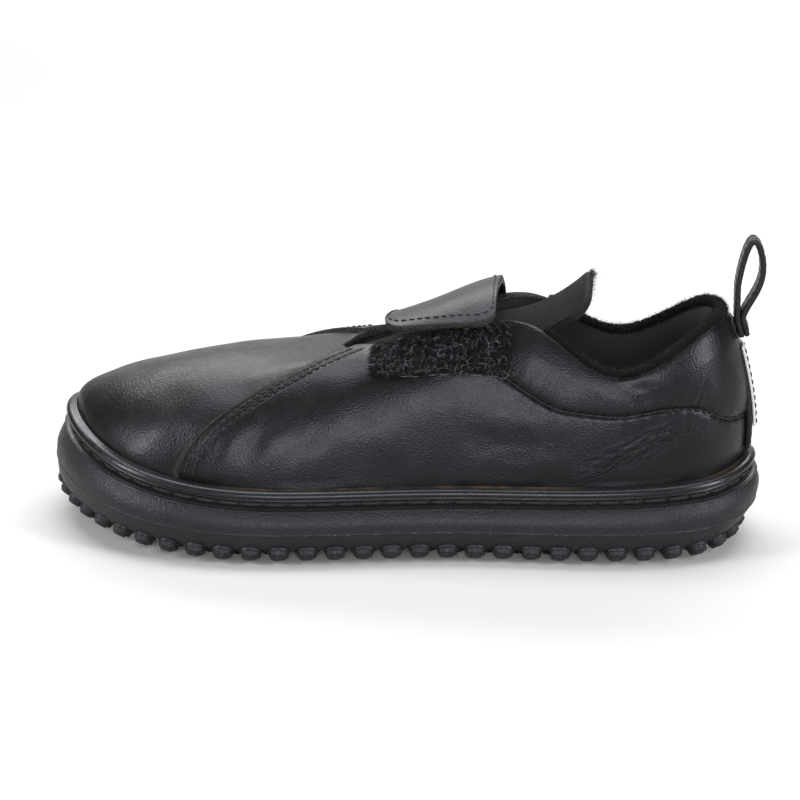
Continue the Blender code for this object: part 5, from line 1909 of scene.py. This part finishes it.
piece("footbed", np.vstack(insole_rings), insole_faces, [FOOTBED], "footbed", "insole")


# Studio: a pale paper sweep that large soft lights bring up to white, and a camera that faces the
# shoe's outer side from a little above and slightly from the heel. Sizes are in metres.
CAMERA = {"azimuth": 6.0, "elevation": 18.0, "lens": 85.0, "width": 0.226, "aim": (0.0, 0.0, 0.036)}
SWEEP = {"half_width": 2.5, "front": -2.5, "back": 1.5, "height": 2.2, "radius": 0.7, "steps": 16}
LIGHTS = (
    # name, place, aim, size, power
    ("overhead", (0.0, 0.12, 0.95), (0.0, 0.02, 0.0), (1.0, 0.42), 12.2),
    ("over the backdrop", (-0.15, 1.5, 1.4), (-0.15, 1.35, 0.0), (2.6, 0.9), 68.0),
    ("left", (-0.85, -0.4, 0.45), (0.0, 0.0, 0.03), (0.22, 0.6), 10.6),
    ("front", (0.1, -1.1, 0.38), (0.0, 0.0, 0.03), (0.55, 0.5), 11.8),
    ("right", (0.85, -0.35, 0.4), (0.0, 0.0, 0.03), (0.18, 0.6), 9.8),
)
PAPER_PALE = (0.385, 0.385, 0.385)
AIR_WHITE = (1.0, 1.0, 1.0, 1.0)
AIR_LIGHT = 0.05


def paper_sweep():
    """Pale paper that runs under the shoe and curves up behind it."""
    back, radius = SWEEP["back"], SWEEP["radius"]
    line = [(SWEEP["front"], 0.0)]
    for turn in np.linspace(0.0, math.pi / 2.0, SWEEP["steps"]):
        line.append((back + radius * math.sin(turn), radius * (1.0 - math.cos(turn))))
    line.append((back + radius, SWEEP["height"]))
    points = [(side * SWEEP["half_width"], y, z) for y, z in line for side in (-1.0, 1.0)]
    mesh = bpy.data.meshes.new("paper_sweep")
    mesh.from_pydata(points, [], grid_faces(len(line), 2))
    mesh.shade_smooth()
    paper = Finish("white_paper", PAPER_PALE, 0.8, Specular_IOR_Level=0.2)
    paper.emboss(paper.noise(1.5), 0.01, 0.2)
    mesh.materials.append(paper.material)
    made = bpy.data.objects.new("paper_sweep", mesh)
    bpy.context.scene.collection.objects.link(made)


def aimed(name, data, place, aim):
    """A light or camera at a place, turned to its aim."""
    made = bpy.data.objects.new(name, data)
    bpy.context.scene.collection.objects.link(made)
    made.location = place
    made.rotation_euler = (Vector(aim) - Vector(place)).to_track_quat("-Z", "Y").to_euler()
    return made


def soft_lights():
    """Large flat lamps round the shoe, and a little light from the air."""
    for name, place, aim, (wide, high), power in LIGHTS:
        lamp = bpy.data.lights.new(name, "AREA")
        lamp.shape = "RECTANGLE"
        lamp.size, lamp.size_y = wide, high
        lamp.energy = power
        aimed(name, lamp, place, aim)
    world = bpy.data.worlds.new("studio_air")
    world.use_nodes = True
    air = world.node_tree.nodes["Background"]
    air.inputs["Color"].default_value = AIR_WHITE
    air.inputs["Strength"].default_value = AIR_LIGHT
    bpy.context.scene.world = world
    bpy.context.scene.view_settings.view_transform = "Standard"


def side_camera():
    """Camera that frames the shoe's length across the picture."""
    data = bpy.data.cameras.new("side_camera")
    data.lens = CAMERA["lens"]
    distance = CAMERA["width"] * data.lens / data.sensor_width
    azimuth, elevation = math.radians(CAMERA["azimuth"]), math.radians(CAMERA["elevation"])
    flat = math.cos(elevation)
    back = Vector((math.sin(azimuth) * flat, -math.cos(azimuth) * flat, math.sin(elevation)))
    aim = Vector(CAMERA["aim"])
    bpy.context.scene.camera = aimed("side_camera", data, aim + back * distance, aim)


paper_sweep()
soft_lights()
side_camera()
